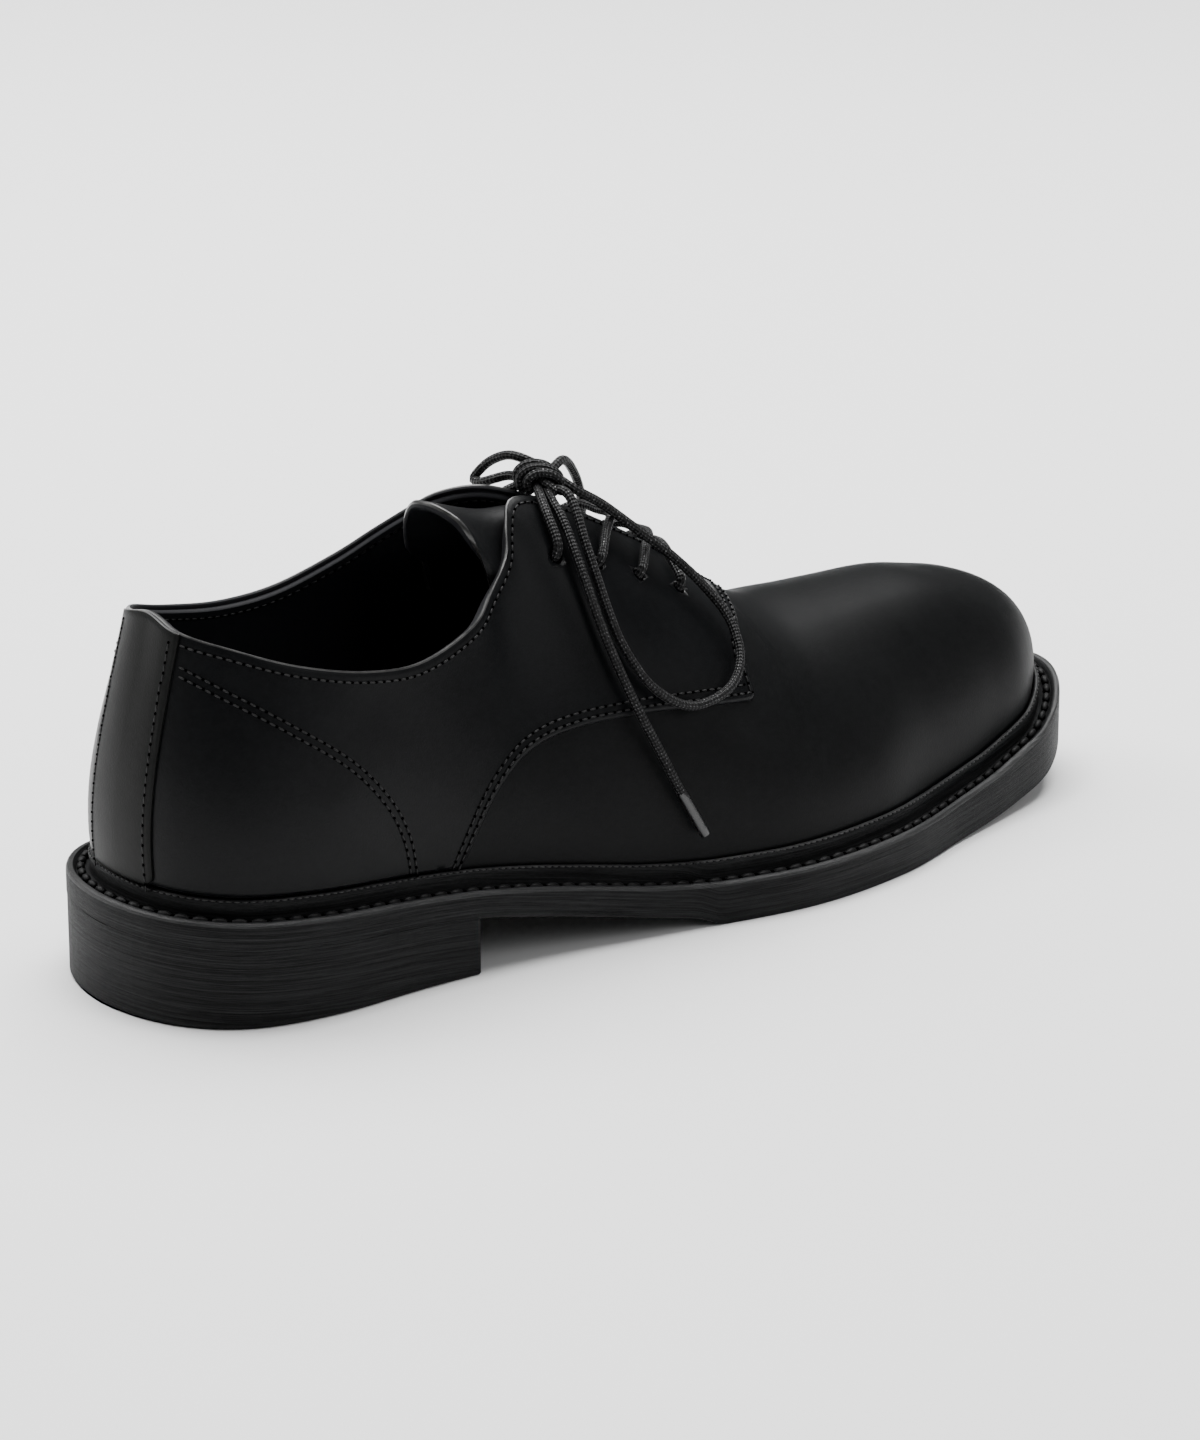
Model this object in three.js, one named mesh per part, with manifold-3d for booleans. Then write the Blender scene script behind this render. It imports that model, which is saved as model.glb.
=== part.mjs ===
// A plain-toe derby shoe for the right foot, standing on its heel and forepart.
// Millimetres. +Y runs from the heel to the toe, +X is the outer side, +Z is up, the floor is Z = 0.
// The model is worked out from the back of the sole. The last line moves the origin to the middle of the heel.
import * as THREE from "three";
import { mergeVertices } from "three/addons/utils/BufferGeometryUtils.js";
import Module from "manifold-3d";

const wasm = await Module();
wasm.setup();

// Driving dimensions
const soleLength = 302; // outsole, back of the heel to the tip of the toe
const ballWidth = 108; // outsole, across the ball of the foot
const seatHeight = 27.4; // top of the welt above the floor at the back of the heel
const toeSpring = 17; // lift of the sole at the tip of the toe
const upperHeight = 104; // top corner of the outer facing above the floor
const weltReach = 8; // welt beyond the foot of the upper
const weltThickness = 3.2;
const weltTuck = 5; // welt under the upper
const weltLipHeight = 4; // raised storm lip that leans on the upper
const weltLipThickness = 1.6;
const heelBreast = 82; // front face of the heel from the back of the sole
const heelInset = 0.4; // heel block inside the outsole's edge
const upperWall = 2;
const quarterStep = 1.2; // quarters stand this proud of the vamp
const backstayThickness = 1.2;
const backstayWidth = 25;
const insoleThickness = 2.6;
const tongueThickness = 2.2;
const facingGap = 7.2; // between the two facings
const eyeletRadius = 1.9;
const eyeletCount = 4; // on each facing
const eyeletPitch = 12.7;
const topEyelet = 123; // from the back of the sole
const eyeletAcross = 16.5; // from the centre line
const laceRadius = 1.2;
const clearance = 0.3; // between pieces that touch

// The sole's edge from the heel to the toe on the outer and the inner side.
// across: share of ballWidth from the centre line. along: share of soleLength.
const outlineRows = [
  { name: "heel back", outer: { across: 0, along: 0 }, inner: { across: 0, along: 0 } },
  { name: "heel corner", outer: { across: 0.195, along: 0.015 }, inner: { across: 0.195, along: 0.015 } },
  { name: "heel round", outer: { across: 0.33, along: 0.06 }, inner: { across: 0.33, along: 0.06 } },
  { name: "heel side", outer: { across: 0.379, along: 0.132 }, inner: { across: 0.38, along: 0.132 } },
  { name: "heel breast", outer: { across: 0.374, along: 0.232 }, inner: { across: 0.358, along: 0.232 } },
  { name: "waist", outer: { across: 0.392, along: 0.338 }, inner: { across: 0.305, along: 0.338 } },
  { name: "ball rear", outer: { across: 0.444, along: 0.454 }, inner: { across: 0.335, along: 0.454 } },
  { name: "ball", outer: { across: 0.503, along: 0.58 }, inner: { across: 0.442, along: 0.58 } },
  { name: "forepart", outer: { across: 0.473, along: 0.69 }, inner: { across: 0.488, along: 0.69 } },
  { name: "toe side", outer: { across: 0.39, along: 0.78 }, inner: { across: 0.476, along: 0.78 } },
  { name: "toe shoulder", outer: { across: 0.322, along: 0.861 }, inner: { across: 0.435, along: 0.861 } },
  { name: "toe corner", outer: { across: 0.25, along: 0.93 }, inner: { across: 0.37, along: 0.927 } },
  { name: "toe round", outer: { across: 0.108, along: 0.984 }, inner: { across: 0.24, along: 0.98 } },
  { name: "toe tip", outer: { across: -0.046, along: 1 }, inner: { across: 0.046, along: 1 } },
];

// The side of the sole. along: share of soleLength. seat, tread: shares of seatHeight, for the top of the welt
// and the underside of the outsole. lift: share of toeSpring, added to both.
const profileRows = [
  { along: 0, seat: 1, tread: 0.76, lift: 0 },
  { along: 0.06, seat: 0.963, tread: 0.715, lift: 0 },
  { along: 0.145, seat: 0.9, tread: 0.65, lift: 0 },
  { along: 0.27, seat: 0.777, tread: 0.53, lift: 0 },
  { along: 0.325, seat: 0.69, tread: 0.42, lift: 0 },
  { along: 0.384, seat: 0.577, tread: 0.292, lift: 0 },
  { along: 0.44, seat: 0.467, tread: 0.168, lift: 0 },
  { along: 0.475, seat: 0.42, tread: 0.09, lift: 0 },
  { along: 0.492, seat: 0.405, tread: 0.012, lift: 0 },
  { along: 0.502, seat: 0.398, tread: 0, lift: 0 },
  { along: 0.6, seat: 0.385, tread: 0, lift: 0 },
  { along: 0.74, seat: 0.388, tread: 0, lift: 0.01 },
  { along: 0.82, seat: 0.388, tread: -0.035, lift: 0.13 },
  { along: 0.89, seat: 0.388, tread: -0.09, lift: 0.37 },
  { along: 0.95, seat: 0.388, tread: -0.13, lift: 0.68 },
  { along: 1, seat: 0.388, tread: -0.14, lift: 1 },
];

// The upper's top edge: collar, facing edge, then the ridge of the vamp to the top of the toe.
// Where the inner side differs it has its own values.
// across: share of ballWidth. along: share of soleLength. rise: share of upperHeight.
const toplineRows = [
  { name: "back peak", outer: { across: 0, along: 0.06, rise: 0.898 } },
  {
    name: "back shoulder",
    outer: { across: 0.111, along: 0.059, rise: 0.878 },
    inner: { across: 0.1, along: 0.064, rise: 0.876 },
  },
  {
    name: "rear collar",
    outer: { across: 0.199, along: 0.081, rise: 0.852 },
    inner: { across: 0.195, along: 0.087, rise: 0.85 },
  },
  {
    name: "side rear",
    outer: { across: 0.259, along: 0.127, rise: 0.802 },
    inner: { across: 0.255, along: 0.129, rise: 0.81 },
  },
  {
    name: "side low",
    outer: { across: 0.274, along: 0.187, rise: 0.757 },
    inner: { across: 0.278, along: 0.185, rise: 0.783 },
  },
  {
    name: "side front",
    outer: { across: 0.259, along: 0.245, rise: 0.742 },
    inner: { across: 0.282, along: 0.24, rise: 0.79 },
  },
  {
    name: "side rise",
    outer: { across: 0.22, along: 0.305, rise: 0.783 },
    inner: { across: 0.25, along: 0.291, rise: 0.846 },
  },
  {
    name: "facing foot",
    outer: { across: 0.171, along: 0.336, rise: 0.835 },
    inner: { across: 0.208, along: 0.322, rise: 0.905 },
  },
  {
    name: "facing rise",
    outer: { across: 0.13, along: 0.3626, rise: 0.896 },
    inner: { across: 0.153, along: 0.342, rise: 0.958 },
  },
  {
    name: "facing bend",
    outer: { across: 0.083, along: 0.3765, rise: 0.958 },
    inner: { across: 0.102, along: 0.358, rise: 0.998 },
  },
  {
    name: "facing corner",
    outer: { across: 0.046, along: 0.391, rise: 1 },
    inner: { across: 0.046, along: 0.383, rise: 1.015 },
  },
  { name: "facing top", outer: { across: 0.033, along: 0.424, rise: 0.979 } },
  { name: "facing upper", outer: { across: 0.033, along: 0.4735, rise: 0.913 } },
  { name: "facing middle", outer: { across: 0.033, along: 0.523, rise: 0.832 } },
  { name: "facing lower", outer: { across: 0.033, along: 0.57, rise: 0.743 } },
  { name: "throat end", outer: { across: 0, along: 0.606, rise: 0.676 } },
  { name: "vamp rear", outer: { across: 0, along: 0.649, rise: 0.625 } },
  { name: "vamp", outer: { across: 0, along: 0.702, rise: 0.608 } },
  { name: "toe box rear", outer: { across: 0, along: 0.762, rise: 0.601 } },
  { name: "toe box", outer: { across: -0.01, along: 0.815, rise: 0.596 } },
  { name: "toe top", outer: { across: -0.028, along: 0.854, rise: 0.577 } },
];
const throatEndRow = 15;

// Ribs of the upper, each a curve from the welt to the top edge. foot: row of outlineRows. reach: row of toplineRows.
// footOut, endOut: shares of ballWidth by which the rib leans out. footUp, endDrop: shares of its height.
// endBack: share of the way from its end to its foot.
const ribRows = [
  { foot: 0, reach: 0, footOut: 0.037, footUp: 0.35, endOut: 0.05, endBack: 0, endDrop: 0.33 },
  { foot: 1, reach: 1, footOut: 0.038, footUp: 0.35, endOut: 0.046, endBack: 0, endDrop: 0.33 },
  { foot: 2, reach: 2, footOut: 0.042, footUp: 0.35, endOut: 0.042, endBack: 0, endDrop: 0.33 },
  { foot: 3, reach: 3.05, footOut: 0.044, footUp: 0.35, endOut: 0.034, endBack: 0, endDrop: 0.33 },
  { foot: 3.6, reach: 4, footOut: 0.04, footUp: 0.35, endOut: 0.03, endBack: 0, endDrop: 0.33 },
  { foot: 4.25, reach: 5, footOut: 0.038, footUp: 0.36, endOut: 0.03, endBack: 0.04, endDrop: 0.33 },
  { foot: 4.85, reach: 6, footOut: 0.036, footUp: 0.38, endOut: 0.03, endBack: 0.12, endDrop: 0.32 },
  { foot: 5.3, reach: 7.1, footOut: 0.034, footUp: 0.4, endOut: 0.026, endBack: 0.24, endDrop: 0.27 },
  { foot: 5.6, reach: 8.5, footOut: 0.032, footUp: 0.42, endOut: 0.018, endBack: 0.34, endDrop: 0.2 },
  { foot: 5.85, reach: 10, footOut: 0.03, footUp: 0.45, endOut: 0.008, endBack: 0.42, endDrop: 0.13 },
  { foot: 6.1, reach: 11, footOut: 0.03, footUp: 0.47, endOut: 0, endBack: 0.43, endDrop: 0.14 },
  { foot: 6.5, reach: 12.2, footOut: 0.028, footUp: 0.46, endOut: 0, endBack: 0.43, endDrop: 0.16 },
  { foot: 6.9, reach: 13.4, footOut: 0.028, footUp: 0.46, endOut: 0, endBack: 0.45, endDrop: 0.15 },
  { foot: 7.25, reach: 14.5, footOut: 0.028, footUp: 0.47, endOut: 0, endBack: 0.48, endDrop: 0.1 },
  { foot: 7.42, reach: 15, footOut: 0.028, footUp: 0.48, endOut: 0, endBack: 0.5, endDrop: 0.06 },
  { foot: 7.95, reach: 16.2, footOut: 0.03, footUp: 0.5, endOut: 0, endBack: 0.55, endDrop: 0 },
  { foot: 8.6, reach: 17.3, footOut: 0.034, footUp: 0.53, endOut: 0, endBack: 0.59, endDrop: 0 },
  { foot: 9.4, reach: 18.4, footOut: 0.038, footUp: 0.56, endOut: 0, endBack: 0.61, endDrop: 0 },
  { foot: 10.3, reach: 19.2, footOut: 0.042, footUp: 0.58, endOut: 0, endBack: 0.62, endDrop: 0 },
  { foot: 11.3, reach: 19.75, footOut: 0.045, footUp: 0.6, endOut: 0, endBack: 0.62, endDrop: 0 },
  { foot: 12.2, reach: 19.93, footOut: 0.046, footUp: 0.62, endOut: 0, endBack: 0.62, endDrop: 0 },
  { foot: 13, reach: 20, footOut: 0.046, footUp: 0.62, endOut: 0, endBack: 0.62, endDrop: 0 },
];
const throatEndRib = 14;

// The lower edge of the quarters from the welt to their front point.
// along: share of soleLength. rise: share of upperHeight.
const quarterRows = [
  { along: 0.262, rise: 0.15 },
  { along: 0.272, rise: 0.26 },
  { along: 0.295, rise: 0.375 },
  { along: 0.322, rise: 0.452 },
  { along: 0.35, rise: 0.492 },
  { along: 0.39, rise: 0.513 },
  { along: 0.44, rise: 0.519 },
  { along: 0.5, rise: 0.505 },
  { along: 0.6, rise: 0.475 },
];

// Their front edge, from above. across: share of ballWidth. along: share of soleLength.
const facingFrontRows = [
  { across: 0.6, along: 0.567 },
  { across: 0.38, along: 0.567 },
  { across: 0.32, along: 0.565 },
  { across: 0.26, along: 0.573 },
  { across: 0.14, along: 0.598 },
  { across: 0.05, along: 0.612 },
];

// The tongue's top edge, an arch. across: share of ballWidth. along: share of soleLength.
// rise: share of upperHeight. neck: share of upperHeight where it dips under the facings' corners.
// under: share of ballWidth from there on.
const tongueRows = [
  { across: 0, along: 0.317, rise: 1.03, neck: 0.98, under: 0 },
  { across: 0.056, along: 0.32, rise: 1.027, neck: 0.958, under: 0.05 },
  { across: 0.111, along: 0.327, rise: 1, neck: 0.882, under: 0.1 },
  { across: 0.137, along: 0.335, rise: 0.94, neck: 0.822, under: 0.145 },
  { across: 0.138, along: 0.346, rise: 0.85, neck: 0.778, under: 0.18 },
  { across: 0.139, along: 0.355, rise: 0.76, neck: 0.735, under: 0.205 },
];
const neckAlong = 0.372;
const tongueAlong = [0.415, 0.45, 0.5, 0.55, 0.6, 0.636]; // sections under the facings, as shares of soleLength

const outlineEnd = outlineRows.length - 1;
const ribEnd = ribRows.length - 1;
const toplineEnd = toplineRows.length - 1;
const rearSteps = 22; // columns of facets from the back to the end of the throat
const foreSteps = 13; // and from there to the toe
const ribSteps = rearSteps + foreSteps;
const shareSteps = 10; // facets up a rib

// Curves through tables
function blend(a, b, c, d, t) {
  return 0.5 * (2 * b + (c - a) * t + (2 * a - 5 * b + 4 * c - d) * t * t + (3 * b - a - 3 * c + d) * t ** 3);
}
// The value of get(row) between rows. Before the first row the table is mirrored,
// with sign -1 for what changes side.
function column(count, get, row, sign = 1) {
  const i = Math.min(Math.max(Math.floor(row), 0), count - 2);
  const last = count - 1;
  const at = (k) => (k < 0 ? sign * get(-k) : k > last ? 2 * get(last) - get(2 * last - k) : get(k));
  return blend(at(i - 1), at(i), at(i + 1), at(i + 2), row - i);
}

// A curve that never overshoots its rows, for heights along the sole
function heightAt(key, along) {
  const rows = profileRows;
  const share = Math.min(Math.max(along / soleLength, 0), 1);
  const i = Math.min(rows.findLastIndex((r) => r.along <= share), rows.length - 2);
  const slope = (k) => (rows[k + 1][key] - rows[k][key]) / (rows[k + 1].along - rows[k].along);
  const knot = (k) => {
    if (k === 0 || k === rows.length - 1) return slope(Math.min(k, rows.length - 2));
    const [before, after] = [slope(k - 1), slope(k)];
    return before * after <= 0 ? 0 : (2 * before * after) / (before + after);
  };
  const width = rows[i + 1].along - rows[i].along;
  const t = (share - rows[i].along) / width;
  const [p, q] = [rows[i][key], rows[i + 1][key]];
  return p + (q - p) * t * t * (3 - 2 * t) + width * t * (1 - t) * (knot(i) * (1 - t) - knot(i + 1) * t);
}
const seat = (y) => seatHeight * heightAt("seat", y) + toeSpring * heightAt("lift", y);
const tread = (y) => seatHeight * heightAt("tread", y) + toeSpring * heightAt("lift", y);
const outsoleTop = (y) => seat(y) - weltThickness - clearance;

// The sole's edge as one closed ring. side is 1 for the outer side and -1 for the inner,
// row runs from heel to toe.
const innerRows = outlineRows
  .slice(1, -1)
  .reverse()
  .map(({ inner }) => ({ across: -inner.across, along: inner.along }));
const ring = [...outlineRows.map((r) => r.outer), ...innerRows];
function soleEdge(side, row) {
  const u = side > 0 ? row : ring.length - row;
  const i = Math.floor(u);
  const at = (k, key) => ring[(i + k + ring.length) % ring.length][key];
  const value = (key) => blend(at(-1, key), at(0, key), at(1, key), at(2, key), u - i);
  return new THREE.Vector2(value("across") * ballWidth, value("along") * soleLength);
}
function outward(side, row) {
  const step = 0.01;
  const d = soleEdge(side, row + step).sub(soleEdge(side, row - step));
  return new THREE.Vector2(side * d.y, -side * d.x).normalize();
}
const insetEdge = (side, row, inset) => soleEdge(side, row).addScaledVector(outward(side, row), -inset);

// The top edge on one side
function topline(side, row) {
  const cell = (k) => (side < 0 && toplineRows[k].inner) || toplineRows[k].outer;
  const count = toplineRows.length;
  const ridge = row >= throatEndRow;
  const across = ridge
    ? column(count - throatEndRow, (k) => cell(throatEndRow + k).across, row - throatEndRow)
    : side * column(count, (k) => cell(k).across, row, -1);
  const y = column(count, (k) => cell(k).along, row) * soleLength;
  return new THREE.Vector3(across * ballWidth, y, column(count, (k) => cell(k).rise, row) * upperHeight);
}

// The last, which is the upper's outer face: rib runs from the heel to the toe,
// share from the welt to the top edge
function ribCurve(side, rib) {
  const get = (key) => column(ribRows.length, (k) => ribRows[k][key], rib);
  const row = get("foot");
  const foot2 = insetEdge(side, row, weltReach);
  const foot = new THREE.Vector3(foot2.x, foot2.y, seat(foot2.y));
  const onRidge = rib >= throatEndRib;
  const reach = Math.min(Math.max(get("reach"), onRidge ? throatEndRow : 0), toplineEnd);
  const end = topline(side, reach);
  const out = outward(side, row);
  const rise = end.z - foot.z;
  const low = foot.clone().add(new THREE.Vector3(out.x, out.y, 0).multiplyScalar(get("footOut") * ballWidth));
  low.z += get("footUp") * rise;
  const back = new THREE.Vector3(foot.x - end.x, foot.y - end.y, 0).multiplyScalar(get("endBack"));
  const lean = new THREE.Vector3(out.x, out.y, 0).multiplyScalar(get("endOut") * ballWidth);
  const high = end.clone().add(back).add(lean);
  high.z -= get("endDrop") * rise;
  if (onRidge) {
    const step = 0.05;
    const ahead = topline(side, Math.min(reach + step, toplineEnd));
    const behind = topline(side, Math.max(reach - step, throatEndRow));
    high.z += ((ahead.z - behind.z) / (ahead.y - behind.y)) * (high.y - end.y);
  }
  return new THREE.CubicBezierCurve3(foot, low, high, end);
}

// Stations round the shoe: the outer side from the heel to the toe, then the inner side back
function ribAt(i) {
  if (i <= rearSteps) return (i / rearSteps) * throatEndRib;
  return throatEndRib + ((i - rearSteps) / foreSteps) * (ribEnd - throatEndRib);
}
const stations = Array.from({ length: 2 * ribSteps }, (_, i) => {
  const side = i <= ribSteps ? 1 : -1;
  const rib = ribAt(side > 0 ? i : 2 * ribSteps - i);
  return { side, rib, row: column(ribRows.length, (k) => ribRows[k].foot, rib), closed: rib >= throatEndRib };
});
const lastGrid = stations.map(({ side, rib }) => ribCurve(side, rib).getPoints(shareSteps));

// Solids
function manifold(geometry) {
  const bare = new THREE.BufferGeometry().setAttribute("position", geometry.getAttribute("position"));
  bare.setIndex(geometry.index);
  const merged = mergeVertices(bare, 1e-4);
  const triVerts = new Uint32Array(merged.index.array);
  const vertProperties = merged.attributes.position.array;
  return new wasm.Manifold(new wasm.Mesh({ numProp: 3, vertProperties, triVerts }));
}
function solid(points, triangles) {
  const g = new THREE.BufferGeometry();
  g.setAttribute("position", new THREE.Float32BufferAttribute(points.flatMap((p) => [p.x, p.y, p.z]), 3));
  return manifold(g.setIndex(triangles));
}
// Normals of a grid of points. Where two columns end on the same point they share its normal.
function gridNormals(grid, wraps) {
  const key = (p) => [p.x, p.y, p.z].map((v) => Math.round(v * 1e3)).join();
  const sums = new Map();
  const add = (p, v) => sums.set(key(p), (sums.get(key(p)) ?? new THREE.Vector3()).add(v));
  for (let i = 0; i < grid.length - (wraps ? 0 : 1); i++)
    for (let k = 0; k < grid[i].length - 1; k++) {
      const next = grid[(i + 1) % grid.length];
      const [a, b, c, d] = [grid[i][k], next[k], next[k + 1], grid[i][k + 1]];
      const normal = c.clone().sub(a).cross(d.clone().sub(b));
      [a, b, c, d].forEach((p) => add(p, normal));
    }
  return grid.map((line) => line.map((p) => sums.get(key(p)).clone().normalize()));
}

// The layer between two offsets of the last, open at the collar, at the throat and underneath
const lastNormals = gridNormals(lastGrid, true);
function layer(from, to) {
  const n = lastGrid.length;
  const offset = (distance) =>
    lastGrid.flatMap((line, i) =>
      line.map((p, k) => {
        const q = p.clone().addScaledVector(lastNormals[i][k], distance);
        if (k === 0) q.z = p.z + clearance;
        return q;
      }),
    );
  const points = [...offset(to), ...offset(from)];
  const id = (which, i, k) => (which * n + (i % n)) * (shareSteps + 1) + k;
  const triangles = [];
  const quad = (a, b, c, d) => triangles.push(a, b, c, a, c, d);
  for (let i = 0; i < n; i++) {
    for (let k = 0; k < shareSteps; k++) {
      quad(id(0, i, k), id(0, i + 1, k), id(0, i + 1, k + 1), id(0, i, k + 1));
      quad(id(1, i + 1, k), id(1, i, k), id(1, i, k + 1), id(1, i + 1, k + 1));
    }
    quad(id(1, i, 0), id(1, i + 1, 0), id(0, i + 1, 0), id(0, i, 0));
    const closed = stations[i].closed && stations[(i + 1) % n].closed;
    const top = shareSteps;
    if (!closed) quad(id(0, i, top), id(0, i + 1, top), id(1, i + 1, top), id(1, i, top));
  }
  return solid(points, triangles);
}

// A plan outline raised into a prism, and a side view or a back view drawn out into one
const tall = 200;
const past = 20;
function prism(points, low = -1, high = tall) {
  const g = new THREE.ExtrudeGeometry(new THREE.Shape(points), { depth: high - low, bevelEnabled: false });
  return manifold(g.translate(0, 0, low));
}
function sideCut(points) {
  const g = new THREE.ExtrudeGeometry(new THREE.Shape(points), { depth: 2 * ballWidth, bevelEnabled: false });
  g.translate(0, 0, -ballWidth);
  return manifold(g.applyMatrix4(new THREE.Matrix4().set(0, 0, 1, 0, 1, 0, 0, 0, 0, 1, 0, 0, 0, 0, 0, 1)));
}
const edgeLoop = (inset) => stations.map(({ side, row }) => insetEdge(side, row, inset));
function sideBand(low, high, from = -past, to = soleLength + past) {
  const step = 7;
  const ys = Array.from({ length: Math.ceil((to - from) / step) + 1 }, (_, i) => Math.min(from + i * step, to));
  const under = ys.map((y) => new THREE.Vector2(y, low(y)));
  const over = ys.reverse().map((y) => new THREE.Vector2(y, high(y)));
  return sideCut([...under, ...over]);
}

function outsole() {
  const plate = prism(edgeLoop(0)).intersect(sideBand(tread, outsoleTop));
  const bed = prism(edgeLoop(weltReach + weltTuck + clearance));
  return plate.add(bed.intersect(sideBand((y) => outsoleTop(y) - clearance, seat)));
}

function heel() {
  return prism(edgeLoop(heelInset)).intersect(sideBand(() => 0, (y) => tread(y) - clearance, -past, heelBreast));
}

function insole() {
  const low = (y) => seat(y) + clearance;
  const plan = prism(edgeLoop(weltReach + upperWall + clearance));
  return plan.intersect(sideBand(low, (y) => low(y) + insoleThickness));
}

// The welt: a strip round the whole shoe, with a storm lip that follows the upper
function welt() {
  const edgeBevel = 0.8;
  const lipRoot = 1.2; // height at which the lip's faces start
  const sections = stations.map(({ side, rib, row }) => {
    const out = outward(side, row);
    const foot = insetEdge(side, row, weltReach);
    const curve = ribCurve(side, rib);
    const base = seat(foot.y);
    const at = (distance, z) => new THREE.Vector3(foot.x + out.x * distance, foot.y + out.y * distance, z);
    const top = (distance) => seat(foot.y + out.y * distance);
    const lean = (height) => {
      const p = curve.getPoint(height / (3 * (curve.v1.z - curve.v0.z)));
      return clearance + (p.x - foot.x) * out.x + (p.y - foot.y) * out.y;
    };
    return [
      at(-weltTuck, top(-weltTuck) - weltThickness),
      at(weltReach, top(weltReach) - weltThickness),
      at(weltReach, top(weltReach) - edgeBevel),
      at(weltReach - edgeBevel, top(weltReach - edgeBevel)),
      at(lean(lipRoot) + weltLipThickness, base),
      at(lean(weltLipHeight) + weltLipThickness, base + weltLipHeight - edgeBevel),
      at(lean(weltLipHeight) + clearance, base + weltLipHeight),
      at(lean(lipRoot), base + lipRoot),
      at(clearance, base),
      at(-weltTuck, top(-weltTuck)),
    ];
  });
  return loft(sections, true);
}

// A solid through sections of equal length. A closed one runs round, an open one has flat ends.
function loft(sections, closed) {
  const [n, m] = [sections.length, sections[0].length];
  const triangles = [];
  for (let i = 0; i < (closed ? n : n - 1); i++)
    for (let k = 0; k < m; k++) {
      const [a, b] = [i * m + k, ((i + 1) % n) * m + k];
      const [c, d] = [((i + 1) % n) * m + ((k + 1) % m), i * m + ((k + 1) % m)];
      triangles.push(a, b, c, a, c, d);
    }
  if (!closed)
    for (let k = 1; k < m - 1; k++) {
      triangles.push(0, k, k + 1);
      triangles.push((n - 1) * m, (n - 1) * m + k + 1, (n - 1) * m + k);
    }
  return solid(sections.flat(), triangles);
}

// The point of the last that lies over (x, y) on the instep, moved out by lift
function instep(x, y, lift) {
  const half = facingGap / 2 + 0.4;
  const open = y < (toplineRows[throatEndRow].outer.along - 0.02) * soleLength;
  if (open && Math.abs(x) < half) return instep(-half, y, lift).lerp(instep(half, y, lift), (x + half) / (2 * half));
  const side = x < 0 ? -1 : 1;
  const target = new THREE.Vector2(x, y);
  const miss = (rib, share) => {
    const p = ribCurve(side, rib).getPoint(Math.min(share, 1));
    return target.distanceTo(p);
  };
  let best = { rib: 10, share: 0.8, miss: Infinity };
  const consider = (rib, share) => {
    if (rib < 0 || rib > ribEnd || share < 0 || share > 1) return;
    const found = miss(rib, share);
    if (found < best.miss) best = { rib, share, miss: found };
  };
  for (let rib = 7; rib <= ribEnd - 3; rib += 0.5)
    for (let share = 0.3; share <= 1; share += 0.1) consider(rib, share);
  for (let step = 0.25; step > 0.002; step /= 2)
    for (let pass = 0; pass < 3; pass++) {
      const { rib, share } = best;
      for (const dr of [-step, 0, step])
        for (const ds of [-step / 4, 0, step / 4]) consider(rib + dr, share + ds);
    }
  const { rib, share } = best;
  const curve = ribCurve(side, rib);
  const ahead = ribCurve(side, Math.min(rib + 0.05, ribEnd)).getPoint(share);
  const along = ahead.sub(ribCurve(side, rib - 0.05).getPoint(share));
  const normal = along.cross(curve.getTangent(Math.min(share, 0.99))).multiplyScalar(side).normalize();
  return curve.getPoint(share).addScaledVector(normal, lift);
}
const eyeletPlaces = Array.from({ length: eyeletCount }, (_, i) => topEyelet + i * eyeletPitch);

function eyeletHole(side, y) {
  const depth = 2 * (upperWall + quarterStep);
  const low = instep(side * eyeletAcross, y, -depth);
  const high = instep(side * eyeletAcross, y, depth);
  const sides = 10;
  const g = new THREE.CylinderGeometry(eyeletRadius, eyeletRadius, low.distanceTo(high), sides);
  const up = new THREE.Vector3(0, 1, 0);
  const turn = new THREE.Quaternion().setFromUnitVectors(up, high.clone().sub(low).normalize());
  return manifold(g.applyQuaternion(turn).translate(...low.lerp(high, 0.5).toArray()));
}

// All that is clear of the welt's lip
const aboveLip = () => sideBand((y) => seat(y) + weltLipHeight + 2 * clearance, () => tall);

function quarters() {
  const lower = quarterRows.map((r) => new THREE.Vector2(r.along * soleLength, r.rise * upperHeight));
  const seam = new THREE.SplineCurve(lower).getPoints(18);
  const view = sideCut([
    new THREE.Vector2(-past, -past),
    new THREE.Vector2(lower[0].x, -past),
    ...seam,
    new THREE.Vector2(seam.at(-1).x, tall),
    new THREE.Vector2(-past, tall),
  ]);
  const front = facingFrontRows.map((r) => new THREE.Vector2(r.across * ballWidth, r.along * soleLength));
  const mirrored = front.map((p) => new THREE.Vector2(-p.x, p.y)).reverse();
  const rear = [new THREE.Vector2(-front[0].x, -past), new THREE.Vector2(front[0].x, -past)];
  const plan = prism([...rear, ...front, ...mirrored]);
  return layer(-0.6, quarterStep).intersect(view).intersect(plan).intersect(aboveLip());
}

function upper() {
  let made = layer(-upperWall, 0).add(quarters());
  for (const side of [1, -1]) for (const y of eyeletPlaces) made = made.subtract(eyeletHole(side, y));
  return made;
}

function backstay() {
  const half = backstayWidth / 2;
  const strip = prism([
    new THREE.Vector2(-half, -past),
    new THREE.Vector2(half, -past),
    new THREE.Vector2(half, 2 * past),
    new THREE.Vector2(-half, 2 * past),
  ]);
  const inner = quarterStep + clearance;
  return layer(inner, inner + backstayThickness).intersect(strip).intersect(aboveLip());
}

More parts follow.
